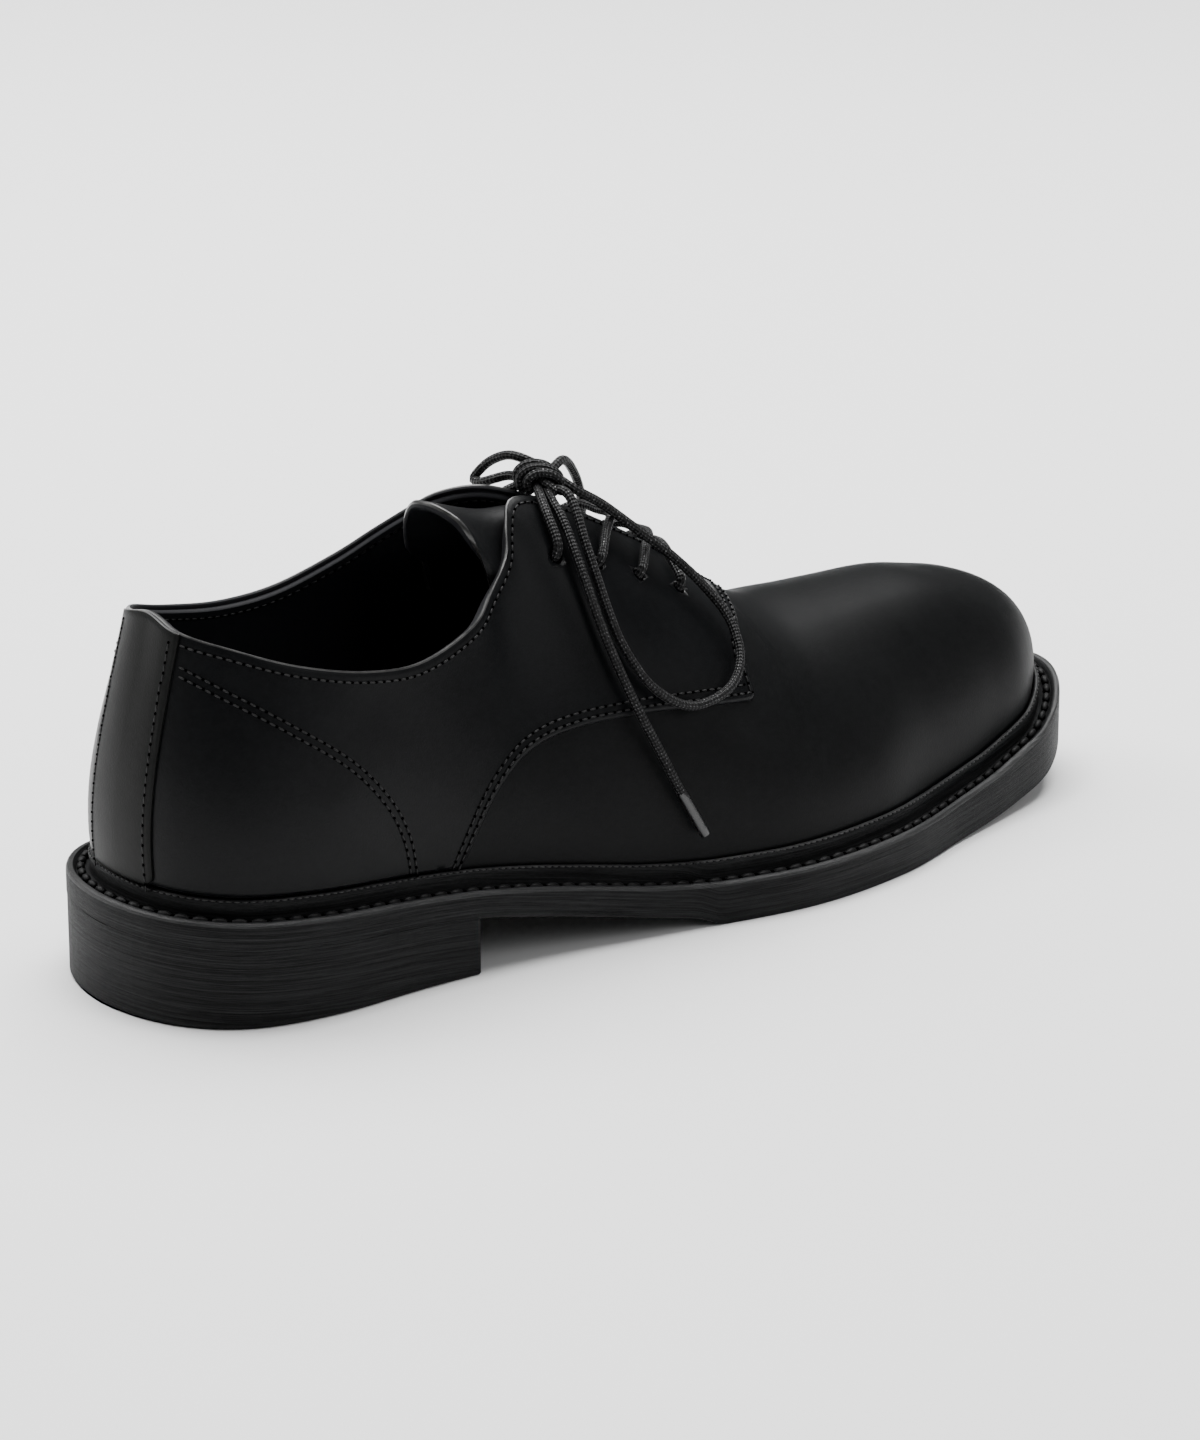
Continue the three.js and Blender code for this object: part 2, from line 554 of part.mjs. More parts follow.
// The tongue lies under the facings and ends in an arch above the collar
function tongue() {
  const depth = upperWall + 2 * clearance;
  const sectionSteps = 2;
  const line = (side, { across, along, rise, neck, under }) => {
    const top = new THREE.Vector3(side * across * ballWidth, along * soleLength, rise * upperHeight);
    const half = (side * (across + under) * ballWidth) / 2;
    const dip = new THREE.Vector3(half, neckAlong * soleLength, neck * upperHeight);
    const laid = tongueAlong.map((share) => instep(side * under * ballWidth, share * soleLength, -depth));
    const path = new THREE.CatmullRomCurve3([top, dip, ...laid], false, "centripetal");
    return path.getPoints((laid.length + 1) * sectionSteps);
  };
  const inner = tongueRows.slice(1).reverse().map((row) => line(-1, row));
  const grid = [...inner, ...tongueRows.map((row) => line(1, row))];
  const normals = gridNormals(grid, false);
  const sections = grid[0].map((_, j) => {
    const over = grid.map((l) => l[j]);
    const under = grid.map((l, i) => l[j].clone().addScaledVector(normals[i][j], -tongueThickness));
    return [...under, ...over.reverse()];
  });
  const room = layer(-upperWall - clearance, quarterStep);
  return loft(sections, false).subtract(room).subtract(room.translate([0, -clearance, 0]));
}

// The lace. A cord's points are chosen by eye, in millimetres: [across, along, up].
const laceSides = 6;
function cord(points, radius = laceRadius, steps = 2) {
  const places = points.map((p) => (p.isVector3 ? p : new THREE.Vector3(...p)));
  const path = new THREE.CatmullRomCurve3(places, false, "centripetal");
  const count = (points.length - 1) * steps;
  const frames = path.computeFrenetFrames(count, false);
  const sections = Array.from({ length: count + 1 }, (_, i) => {
    const centre = path.getPointAt(i / count);
    return Array.from({ length: laceSides }, (_, k) => {
      const angle = (2 * Math.PI * k) / laceSides;
      const p = centre.clone().addScaledVector(frames.normals[i], Math.cos(angle) * radius);
      return p.addScaledVector(frames.binormals[i], -Math.sin(angle) * radius);
    });
  });
  return loft(sections, false);
}
const laceRest = quarterStep + laceRadius + clearance; // a lace's centre where it lies on the quarters
const intoHole = -upperWall / 2;

// A bar across the gap. The slack ones sag forward by a share of the pitch.
function laceBar(y, sag, lift) {
  const bow = sag * eyeletPitch;
  const half = [
    [1, 0, intoHole],
    [1, 0.02, laceRest],
    [0.62, 0.45, laceRest + 0.4 * lift],
    [0.26, 0.9, laceRest + 0.9 * lift],
  ];
  const place = (side) =>
    half.map(([across, share, up]) => instep(side * across * eyeletAcross, y + share * bow, up));
  const crest = instep(0, y + bow, laceRest + lift);
  return cord([...place(1), crest, ...place(-1).reverse()], laceRadius, 3);
}

const knotCentre = new THREE.Vector3(0, 131, 105.6);
function laceKnot() {
  const core = new THREE.SphereGeometry(1, 10, 7).scale(5.6, 4.4, 3.2).rotateX(-0.4).translate(...knotCentre.toArray());
  const wrap = cord([
    [-1, 127.2, 104.6],
    [-2, 126.8, 107.5],
    [1, 130, 109.8],
    [3, 134.3, 107.6],
    [2, 135, 104.4],
  ]);
  const tail = (side) => {
    const hole = instep(side * eyeletAcross, topEyelet, intoHole);
    const rim = instep(side * eyeletAcross, topEyelet, laceRest);
    const near = instep(side * eyeletAcross * 0.55, topEyelet + 1, laceRest + 0.4);
    return cord([hole, rim, near, [1.5 * side, knotCentre.y - 1, knotCentre.z]], laceRadius, 3);
  };
  return manifold(core).add(wrap).add(tail(1)).add(tail(-1));
}

const outerLoop = [
  [7, 136.5, 104.5],
  [8.5, 143.5, 100],
  [12.5, 152, 92.5],
  [17, 160, 85],
  [21.5, 166.5, 77],
  [27, 169.5, 70],
  [33.5, 168, 62.5],
  [37.5, 163, 57.5],
  [39.3, 156, 55],
  [39, 147, 54.6],
  [36.5, 137.5, 61],
  [32, 132, 71.5],
  [28.7, 131, 77.8],
  [19.5, 131, 93],
  [9.5, 132.5, 104.5],
];
const outerEnd = [
  [7.5, 129, 103.4],
  [13.5, 128, 99.4],
  [22.3, 126.6, 90],
  [31.4, 127.3, 74],
  [37.5, 131.3, 58.5],
  [41, 138.3, 42.5],
  [42.4, 141, 36.2],
  [44.5, 147.8, 23],
];
const innerLoop = [
  [-4.5, 135, 107.6],
  [-6.5, 131.8, 109.8],
  [-10, 129.4, 110.6],
  [-14, 127.7, 109],
  [-16.5, 126.2, 106.8],
  [-18, 124.3, 103.6],
  [-14.5, 124.2, 103.6],
  [-11, 125.6, 105],
  [-8.3, 127.8, 106],
];
const innerEnd = [
  [-2.2, 135, 105.4],
  [-5, 142, 108.3],
  [-9, 149, 102.5],
  [-14, 155, 93],
  [-22, 160, 83],
  [-31, 160, 71],
  [-39, 158, 58],
  [-44, 157, 44],
];

const group = new THREE.Group();
const leather = new THREE.MeshStandardMaterial({ color: 0x141415, roughness: 0.42, metalness: 0 });
const soleRubber = new THREE.MeshStandardMaterial({ color: 0x17181a, roughness: 0.6, metalness: 0 });
const waxedCotton = new THREE.MeshStandardMaterial({ color: 0x1b1b1c, roughness: 0.5, metalness: 0 });
function place(name, made, material) {
  const mesh = made.simplify(0.01).getMesh();
  const g = new THREE.BufferGeometry();
  g.setAttribute("position", new THREE.BufferAttribute(new Float32Array(mesh.vertProperties), 3));
  g.setIndex(new THREE.BufferAttribute(new Uint32Array(mesh.triVerts), 1));
  g.computeVertexNormals();
  const piece = new THREE.Mesh(g, material);
  piece.name = name;
  group.add(piece);
}

place("outsole", outsole(), soleRubber);
place("heel", heel(), soleRubber);
place("welt", welt(), soleRubber);
place("insole", insole(), leather);
place("upper", upper(), leather);
place("tongue", tongue(), leather);
place("backstay", backstay(), leather);
place("lace_bar_upper", laceBar(eyeletPlaces[1], 0.945, 1.6), waxedCotton);
place("lace_bar_middle", laceBar(eyeletPlaces[2], 0.905, 1.4), waxedCotton);
place("lace_bar_lower", laceBar(eyeletPlaces[3], 0.236, 0.4), waxedCotton);
place("lace_knot", laceKnot(), waxedCotton);
place("lace_loop_outer", cord(outerLoop), waxedCotton);
place("lace_loop_inner", cord(innerLoop), waxedCotton);
place("lace_end_outer", cord(outerEnd), waxedCotton);
place("lace_end_inner", cord(innerEnd), waxedCotton);

group.position.y = -heelBreast / 2;

export default group;
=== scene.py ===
"""A black plain-toe derby shoe for the right foot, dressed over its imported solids."""
import math

import bmesh
import bpy
import numpy as np
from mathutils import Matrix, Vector
from mathutils.bvhtree import BVHTree


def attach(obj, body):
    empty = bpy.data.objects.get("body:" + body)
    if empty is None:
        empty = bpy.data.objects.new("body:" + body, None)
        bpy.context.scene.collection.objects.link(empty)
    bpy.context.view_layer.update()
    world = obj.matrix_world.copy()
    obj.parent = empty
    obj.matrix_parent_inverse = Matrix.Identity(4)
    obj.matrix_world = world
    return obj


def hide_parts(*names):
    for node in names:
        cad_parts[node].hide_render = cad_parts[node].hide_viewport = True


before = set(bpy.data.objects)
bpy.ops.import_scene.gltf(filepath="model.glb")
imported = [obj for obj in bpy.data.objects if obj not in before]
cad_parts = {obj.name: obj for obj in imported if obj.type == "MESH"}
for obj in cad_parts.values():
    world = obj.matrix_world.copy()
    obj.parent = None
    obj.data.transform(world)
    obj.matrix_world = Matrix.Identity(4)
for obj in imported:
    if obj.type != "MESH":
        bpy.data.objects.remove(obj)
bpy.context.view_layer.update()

# The shoe's own sizes, in millimetres, from the back of the sole
SOLE_LENGTH = 302
BALL_WIDTH = 108
SEAT_HEIGHT = 27.4
TOE_SPRING = 17
UPPER_HEIGHT = 104
WELT_REACH = 8
WELT_THICKNESS = 3.2
WELT_TUCK = 5
WELT_LIP = 4
WELT_LIP_THICKNESS = 1.6
HEEL_BREAST = 82
UPPER_WALL = 2
QUARTER_STEP = 1.2
BACKSTAY_WIDTH = 25
INSOLE_THICKNESS = 2.6
TONGUE_THICKNESS = 2.2
FACING_GAP = 7.2
EYELET_RADIUS = 1.9
EYELETS_ALONG = [123, 135.7, 148.4, 161.1]
EYELET_ACROSS = 16.5
LACE_RADIUS = 1.2
CLEARANCE = 0.3
LACE_REST = QUARTER_STEP + LACE_RADIUS + CLEARANCE
ORIGIN = np.array([0.0, HEEL_BREAST / 2, 0.0])

# Sole edge. Columns: outer across, outer along, inner across, inner along.
# Across is a share of the ball width and along a share of the sole length.
OUTLINE = np.array([
    [0, 0, 0, 0],
    [0.195, 0.015, 0.195, 0.015],
    [0.33, 0.06, 0.33, 0.06],
    [0.379, 0.132, 0.38, 0.132],
    [0.374, 0.232, 0.358, 0.232],
    [0.392, 0.338, 0.305, 0.338],
    [0.444, 0.454, 0.335, 0.454],
    [0.503, 0.58, 0.442, 0.58],
    [0.473, 0.69, 0.488, 0.69],
    [0.39, 0.78, 0.476, 0.78],
    [0.322, 0.861, 0.435, 0.861],
    [0.25, 0.93, 0.37, 0.927],
    [0.108, 0.984, 0.24, 0.98],
    [-0.046, 1, 0.046, 1],
])

# Side of the sole. Columns: along, seat, tread, lift
PROFILE = np.array([
    [0, 1, 0.76, 0],
    [0.06, 0.963, 0.715, 0],
    [0.145, 0.9, 0.65, 0],
    [0.27, 0.777, 0.53, 0],
    [0.325, 0.69, 0.42, 0],
    [0.384, 0.577, 0.292, 0],
    [0.44, 0.467, 0.168, 0],
    [0.475, 0.42, 0.09, 0],
    [0.492, 0.405, 0.012, 0],
    [0.502, 0.398, 0, 0],
    [0.6, 0.385, 0, 0],
    [0.74, 0.388, 0, 0.01],
    [0.82, 0.388, -0.035, 0.13],
    [0.89, 0.388, -0.09, 0.37],
    [0.95, 0.388, -0.13, 0.68],
    [1, 0.388, -0.14, 1],
])

# Top edge of the upper. Columns: outer across, along, rise, then the same of the inner side
TOPLINE = np.array([
    [0, 0.06, 0.898, 0, 0.06, 0.898],
    [0.111, 0.059, 0.878, 0.1, 0.064, 0.876],
    [0.199, 0.081, 0.852, 0.195, 0.087, 0.85],
    [0.259, 0.127, 0.802, 0.255, 0.129, 0.81],
    [0.274, 0.187, 0.757, 0.278, 0.185, 0.783],
    [0.259, 0.245, 0.742, 0.282, 0.24, 0.79],
    [0.22, 0.305, 0.783, 0.25, 0.291, 0.846],
    [0.171, 0.336, 0.835, 0.208, 0.322, 0.905],
    [0.13, 0.3626, 0.896, 0.153, 0.342, 0.958],
    [0.083, 0.3765, 0.958, 0.102, 0.358, 0.998],
    [0.046, 0.391, 1, 0.046, 0.383, 1.015],
    [0.033, 0.424, 0.979, 0.033, 0.424, 0.979],
    [0.033, 0.4735, 0.913, 0.033, 0.4735, 0.913],
    [0.033, 0.523, 0.832, 0.033, 0.523, 0.832],
    [0.033, 0.57, 0.743, 0.033, 0.57, 0.743],
    [0, 0.606, 0.676, 0, 0.606, 0.676],
    [0, 0.649, 0.625, 0, 0.649, 0.625],
    [0, 0.702, 0.608, 0, 0.702, 0.608],
    [0, 0.762, 0.601, 0, 0.762, 0.601],
    [-0.01, 0.815, 0.596, -0.01, 0.815, 0.596],
    [-0.028, 0.854, 0.577, -0.028, 0.854, 0.577],
])
THROAT_END_ROW = 15

# Ribs of the last. Columns: foot, reach, foot out, foot up, end out, end back, end drop
RIBS = np.array([
    [0, 0, 0.037, 0.35, 0.05, 0, 0.33],
    [1, 1, 0.038, 0.35, 0.046, 0, 0.33],
    [2, 2, 0.042, 0.35, 0.042, 0, 0.33],
    [3, 3.05, 0.044, 0.35, 0.034, 0, 0.33],
    [3.6, 4, 0.04, 0.35, 0.03, 0, 0.33],
    [4.25, 5, 0.038, 0.36, 0.03, 0.04, 0.33],
    [4.85, 6, 0.036, 0.38, 0.03, 0.12, 0.32],
    [5.3, 7.1, 0.034, 0.4, 0.026, 0.24, 0.27],
    [5.6, 8.5, 0.032, 0.42, 0.018, 0.34, 0.2],
    [5.85, 10, 0.03, 0.45, 0.008, 0.42, 0.13],
    [6.1, 11, 0.03, 0.47, 0, 0.43, 0.14],
    [6.5, 12.2, 0.028, 0.46, 0, 0.43, 0.16],
    [6.9, 13.4, 0.028, 0.46, 0, 0.45, 0.15],
    [7.25, 14.5, 0.028, 0.47, 0, 0.48, 0.1],
    [7.42, 15, 0.028, 0.48, 0, 0.5, 0.06],
    [7.95, 16.2, 0.03, 0.5, 0, 0.55, 0],
    [8.6, 17.3, 0.034, 0.53, 0, 0.59, 0],
    [9.4, 18.4, 0.038, 0.56, 0, 0.61, 0],
    [10.3, 19.2, 0.042, 0.58, 0, 0.62, 0],
    [11.3, 19.75, 0.045, 0.6, 0, 0.62, 0],
    [12.2, 19.93, 0.046, 0.62, 0, 0.62, 0],
    [13, 20, 0.046, 0.62, 0, 0.62, 0],
])
THROAT_END_RIB = 14

# Lower edge of the quarters. Columns: along, rise
QUARTER = np.array([
    [0.262, 0.15],
    [0.272, 0.26],
    [0.295, 0.375],
    [0.322, 0.452],
    [0.35, 0.492],
    [0.39, 0.513],
    [0.44, 0.519],
    [0.5, 0.505],
    [0.6, 0.475],
])

# Front edge of the quarters from above. Columns: across, along
FACING_FRONT = np.array([
    [0.6, 0.567], [0.38, 0.567], [0.32, 0.565],
    [0.26, 0.573], [0.14, 0.598], [0.05, 0.612],
])

# Upper edge of the counter, in side view. Columns: along, rise
COUNTER = np.array([
    [0.036, 0.842],
    [0.07, 0.762],
    [0.113, 0.673],
    [0.163, 0.563],
    [0.196, 0.455],
    [0.213, 0.36],
    [0.222, 0.26],
])

# Tongue. Columns: across, along, rise, neck, under
TONGUE = np.array([
    [0, 0.317, 1.03, 0.98, 0],
    [0.056, 0.32, 1.027, 0.958, 0.05],
    [0.111, 0.327, 1, 0.882, 0.1],
    [0.137, 0.335, 0.94, 0.822, 0.145],
    [0.138, 0.346, 0.85, 0.778, 0.18],
    [0.139, 0.355, 0.76, 0.735, 0.205],
])
TONGUE_NECK = 0.372
TONGUE_ALONG = [0.415, 0.45, 0.5, 0.55, 0.6, 0.636]

# Routes of the lace, in millimetres: across, along, up
OUTER_LOOP = [
    [3.2, 134.6, 106.6],
    [7, 136.5, 104.5], [8.5, 143.5, 100], [12.5, 152, 92.5], [17, 160, 85], [21.5, 166.5, 77],
    [27, 169.5, 70], [33.5, 168, 62.5], [37.5, 163, 57.5], [39.3, 156, 55], [39, 147, 54.6],
    [36.5, 137.5, 61], [32, 132, 71.5], [28.7, 131, 77.8], [19.5, 131, 93], [9.5, 132.5, 104.5],
    [4.2, 131, 105],
]
OUTER_END = [
    [3, 130.6, 105.2],
    [7.5, 129, 103.4], [13.5, 128, 99.4], [22.3, 126.6, 90], [31.4, 127.3, 74],
    [37.5, 131.3, 58.5], [41, 138.3, 42.5], [42.4, 141, 36.2], [44.5, 147.8, 23],
]
INNER_LOOP = [
    [-1.6, 135.2, 106],
    [-4.5, 135, 107.6], [-6.5, 131.8, 109.8], [-10, 129.4, 110.6], [-14, 127.7, 109], [-16.5, 126.2, 106.8],
    [-18, 124.3, 103.6], [-14.5, 124.2, 103.6], [-11, 125.6, 105], [-8.3, 127.8, 106],
    [-4.4, 129.6, 105.8],
]
INNER_END = [
    [0.8, 131.6, 103.6],
    [-2.2, 135, 105.4], [-5, 142, 108.3], [-9, 149, 102.5], [-14, 155, 93],
    [-22, 160, 83], [-31, 160, 71], [-39, 158, 58], [-44, 157, 44],
]


# Curves through the tables
def blend(a, b, c, d, t):
    return 0.5 * (2 * b + (c - a) * t + (2 * a - 5 * b + 4 * c - d) * t * t + (3 * b - a - 3 * c + d) * t**3)


def column(values, row, sign=1):
    """The value between rows of a table, which is mirrored before its first row."""
    values = np.asarray(values, float)
    last = len(values) - 1
    first = np.clip(np.floor(row).astype(int), 0, last - 1)

    def at(k):
        value = values[np.clip(np.abs(k), 0, last)] * np.where(k < 0, sign, 1)
        return np.where(k > last, 2 * values[last] - values[np.clip(2 * last - k, 0, last)], value)

    return blend(at(first - 1), at(first), at(first + 1), at(first + 2), row - first)


def height_at(key, y):
    """A height along the sole, on a curve that never overshoots its rows."""
    share = np.clip(np.asarray(y, float) / SOLE_LENGTH, 0, 1)
    along, value = PROFILE[:, 0], PROFILE[:, key]
    slope = np.diff(value) / np.diff(along)
    product = slope[:-1] * slope[1:]
    total = np.where(product > 0, slope[:-1] + slope[1:], 1)
    knot = np.concatenate([[slope[0]], np.where(product > 0, 2 * product / total, 0), [slope[-1]]])
    i = np.clip(np.searchsorted(along, share, side="right") - 1, 0, len(along) - 2)
    width = along[i + 1] - along[i]
    t = (share - along[i]) / width
    rise = value[i] + (value[i + 1] - value[i]) * t * t * (3 - 2 * t)
    return rise + width * t * (1 - t) * (knot[i] * (1 - t) - knot[i + 1] * t)


def seat(y):
    return SEAT_HEIGHT * height_at(1, y) + TOE_SPRING * height_at(3, y)


def tread(y):
    return SEAT_HEIGHT * height_at(2, y) + TOE_SPRING * height_at(3, y)


def outsole_top(y):
    return seat(y) - WELT_THICKNESS - CLEARANCE


RING = np.concatenate([OUTLINE[:, :2], (OUTLINE[1:-1, 2:] * [-1, 1])[::-1]])


def sole_edge(side, row):
    u = np.where(side > 0, row, len(RING) - row)
    i = np.floor(u).astype(int)
    at = [RING[(i + k) % len(RING)] for k in (-1, 0, 1, 2)]
    return blend(*at, (u - i)[..., None]) * [BALL_WIDTH, SOLE_LENGTH]


def outward(side, row):
    d = sole_edge(side, row + 0.01) - sole_edge(side, row - 0.01)
    normal = np.stack([d[..., 1], -d[..., 0]], -1) * np.asarray(side)[..., None]
    return normal / np.linalg.norm(normal, axis=-1, keepdims=True)


def inset_edge(side, row, inset):
    return sole_edge(side, row) - outward(side, row) * inset


def topline(side, row):
    across, along, rise = TOPLINE[:, :3].T if side > 0 else TOPLINE[:, 3:].T
    ridge = column(across[THROAT_END_ROW:], np.maximum(row - THROAT_END_ROW, 0))
    x = np.where(row >= THROAT_END_ROW, ridge, side * column(across, row, -1))
    return np.stack([x * BALL_WIDTH, column(along, row) * SOLE_LENGTH, column(rise, row) * UPPER_HEIGHT], -1)


def rib_curve(side, rib):
    """The four control points of each rib, from the welt to the top edge."""
    foot_row, reach, foot_out, foot_up, end_out, end_back, end_drop = (
        column(RIBS[:, k], rib) for k in range(7)
    )
    on_ridge = rib >= THROAT_END_RIB
    plan = inset_edge(np.full(rib.shape, side), foot_row, WELT_REACH)
    foot = np.concatenate([plan, seat(plan[:, 1])[:, None]], 1)
    reach = np.clip(reach, np.where(on_ridge, THROAT_END_ROW, 0), len(TOPLINE) - 1)
    end = topline(side, reach)
    out = np.pad(outward(np.full(rib.shape, side), foot_row), ((0, 0), (0, 1)))
    rise = end[:, 2] - foot[:, 2]
    low = foot + out * (foot_out * BALL_WIDTH)[:, None]
    low[:, 2] += foot_up * rise
    back = (foot - end) * end_back[:, None] * [1, 1, 0]
    high = end + back + out * (end_out * BALL_WIDTH)[:, None]
    high[:, 2] -= end_drop * rise
    ahead = topline(side, np.minimum(reach + 0.05, len(TOPLINE) - 1))
    behind = topline(side, np.maximum(reach - 0.05, THROAT_END_ROW))
    slope = (ahead[:, 2] - behind[:, 2]) / np.maximum(ahead[:, 1] - behind[:, 1], 1e-6)
    high[:, 2] += np.where(on_ridge, slope * (high[:, 1] - end[:, 1]), 0)
    return foot, low, high, end


def rib_points(side, rib, shares):
    foot, low, high, end = (p[:, None] for p in rib_curve(side, rib))
    t = shares[None, :, None]
    return foot * (1 - t) ** 3 + 3 * low * t * (1 - t) ** 2 + 3 * high * t * t * (1 - t) + end * t**3


def unit(vectors):
    return vectors / np.maximum(np.linalg.norm(vectors, axis=-1, keepdims=True), 1e-9)


def smooth_line(points, steps=8):
    """A curve through points, in their own number of dimensions."""
    points = np.asarray(points, float)
    rows = np.linspace(0, len(points) - 1, (len(points) - 1) * steps + 1)
    ends = np.concatenate([[2 * points[0] - points[1]], points, [2 * points[-1] - points[-2]]])
    i = np.minimum(rows.astype(int), len(points) - 2)
    return blend(ends[i], ends[i + 1], ends[i + 2], ends[i + 3], (rows - i)[:, None])


def centripetal(points, count):
    """A centripetal curve through points, as count equal steps of its own measure."""
    points = np.asarray(points, float)
    p = np.concatenate([[2 * points[0] - points[1]], points, [2 * points[-1] - points[-2]]])
    made = []
    for t in np.linspace(0, len(points) - 1, count + 1):
        i = min(int(t), len(points) - 2)
        w = t - i
        a, b, c, d = p[i : i + 4]
        d0, d1, d2 = (max(np.linalg.norm(v - u), 1e-6) ** 0.5 for u, v in ((a, b), (b, c), (c, d)))
        t1 = ((b - a) / d0 - (c - a) / (d0 + d1) + (c - b) / d1) * d1
        t2 = ((c - b) / d1 - (d - b) / (d1 + d2) + (d - c) / d2) * d1
        made.append(b + t1 * w + (3 * (c - b) - 2 * t1 - t2) * w**2 + (2 * (b - c) + t1 + t2) * w**3)
    return np.array(made)


def even(points, step):
    """The same line in equal steps."""
    points = np.asarray(points, float)
    lengths = np.concatenate([[0], np.cumsum(np.linalg.norm(np.diff(points, axis=0), axis=1))])
    count = max(int(round(lengths[-1] / step)), 1)
    at = np.linspace(0, lengths[-1], count + 1)
    return np.stack([np.interp(at, lengths, points[:, k]) for k in range(points.shape[1])], -1)


def line_length(points):
    return float(np.linalg.norm(np.diff(points, axis=0), axis=1).sum())


# The last as a fine closed grid: the outer side from the heel to the toe, then the inner side back
REAR_STEPS = 88
FORE_STEPS = 52
SHARES = 44
COLUMNS = REAR_STEPS + FORE_STEPS
SIDE_RIBS = np.concatenate([
    np.linspace(0, THROAT_END_RIB, REAR_STEPS + 1),
    np.linspace(THROAT_END_RIB, len(RIBS) - 1, FORE_STEPS + 1)[1:],
])
share_row = np.linspace(0, 1, SHARES + 1)
outer_side = rib_points(1, SIDE_RIBS, share_row)
inner_side = rib_points(-1, SIDE_RIBS, share_row)
station_rib = np.concatenate([SIDE_RIBS, SIDE_RIBS[-2:0:-1]])
station_side = np.concatenate([np.full(COLUMNS + 1, 1), np.full(COLUMNS - 1, -1)])
station_row = column(RIBS[:, 0], station_rib)
last = np.concatenate([outer_side, inner_side[-2:0:-1]])
STATIONS = len(last)


def grid_ids():
    """Vertex numbers of the grid. Where the throat is closed both sides share the ridge."""
    ids = np.arange(STATIONS * (SHARES + 1)).reshape(STATIONS, SHARES + 1)
    for i in range(1, COLUMNS):
        if station_rib[i] >= THROAT_END_RIB:
            ids[STATIONS - i, -1] = ids[i, -1]
    return ids


IDS = grid_ids()


def grid_normals(grid, ids):
    total = np.zeros((grid.shape[0] * grid.shape[1], 3))
    a, b = grid, np.roll(grid, -1, 0)
    normal = np.cross(b[:, 1:] - a[:, :-1], a[:, 1:] - b[:, :-1])
    for corner in (ids[:, :-1], np.roll(ids, -1, 0)[:, :-1], np.roll(ids, -1, 0)[:, 1:], ids[:, 1:]):
        np.add.at(total, corner.ravel(), normal.reshape(-1, 3))
    return unit(total[ids])


last_normals = grid_normals(last, IDS)


def segment_distance(points, a, b):
    ab = b - a
    t = np.clip(((points - a) @ ab) / (ab @ ab), 0, 1)
    return np.linalg.norm(points - a - t[..., None] * ab, axis=-1)


# Soft troughs and ridges of the leather. Columns: side, start, end, width, depth
CREASES = [
    (1, (14, 196, 66), (40, 190, 44), 7.0, -0.35),
    (-1, (-12, 196, 66), (-44, 186, 40), 7.0, -0.35),
    (1, (30, 60, 70), (37, 84, 48), 9.0, -0.4),
    (1, (39, 100, 40), (41, 120, 26), 8.0, 0.25),
    (1, (34, 46, 50), (35, 60, 30), 5.0, 0.35),
    (-1, (-34, 46, 50), (-33, 60, 30), 5.0, 0.35),
    (1, (10, 205, 63), (30, 214, 52), 8.0, -0.25),
]
for crease_side, start, end, width, depth in CREASES:
    reach = segment_distance(last, np.array(start, float), np.array(end, float))
    near = np.exp(-((reach / width) ** 2)) * (station_side[:, None] * crease_side >= 0)
    last = last + last_normals * (near * depth)[..., None]


def polyline_distance(points, line):
    """Signed distance in the plane to a line, positive on its left."""
    best = np.full(points.shape[:-1], 1e9)
    sign = np.ones(points.shape[:-1])
    for a, b in zip(line[:-1], line[1:]):
        ab = b - a
        t = np.clip(((points - a) @ ab) / (ab @ ab), 0, 1)
        away = points - a - t[..., None] * ab
        distance = np.linalg.norm(away, axis=-1)
        cross = ab[0] * (points[..., 1] - a[1]) - ab[1] * (points[..., 0] - a[0])
        closer = distance < best - 1e-6
        best = np.where(closer, distance, best)
        sign = np.where(closer, np.sign(cross), sign)
    return best * sign


seam_line = smooth_line(QUARTER * [SOLE_LENGTH, UPPER_HEIGHT])
half_front = smooth_line(FACING_FRONT * [BALL_WIDTH, SOLE_LENGTH])
front_line = np.concatenate([half_front, half_front[::-1] * [-1, 1]])
counter_line = smooth_line(COUNTER * [SOLE_LENGTH, UPPER_HEIGHT])


def above_lip(points):
    return points[..., 2] - seat(points[..., 1]) - WELT_LIP - 2 * CLEARANCE


def quarter_field(points):
    """Distance inside the quarters' edge."""
    below = np.concatenate([[seam_line[0] - [0, 60]], seam_line])
    seam = polyline_distance(points[..., 1:], below)
    front = polyline_distance(points[..., :2], front_line)
    return np.minimum(np.minimum(seam, front), above_lip(points))


def backstay_field(points):
    strip = np.where(points[..., 1] < 45, BACKSTAY_WIDTH / 2 - np.abs(points[..., 0]), -50)
    return np.minimum(strip, above_lip(points))


# Sheets: rows of place (0-2), normal (3-5), rim direction (6-8) and field (9)
def last_sheet(field, drop=0.0, lift_foot=CLEARANCE):
    place = last.copy()
    rim = unit(place[:, -1] - place[:, -2])
    is_open = (station_rib < THROAT_END_RIB)[:, None]
    fade = np.clip((THROAT_END_RIB - station_rib) / 0.6, 0, 1)[:, None]
    place[:, -1] -= rim * drop * is_open * fade
    place[:, 0, 2] += lift_foot
    rims = np.zeros_like(place)
    rims[:, -1] = rim * is_open * fade
    rows = np.concatenate([place, last_normals, rims, field(place)[..., None]], -1).reshape(-1, 10)
    faces = []
    for i in range(STATIONS):
        j = (i + 1) % STATIONS
        for k in range(SHARES):
            face = [IDS[i, k], IDS[j, k], IDS[j, k + 1], IDS[i, k + 1]]
            face = [int(v) for n, v in enumerate(face) if v != face[n - 1]]
            faces.append(face)
    return rows, faces


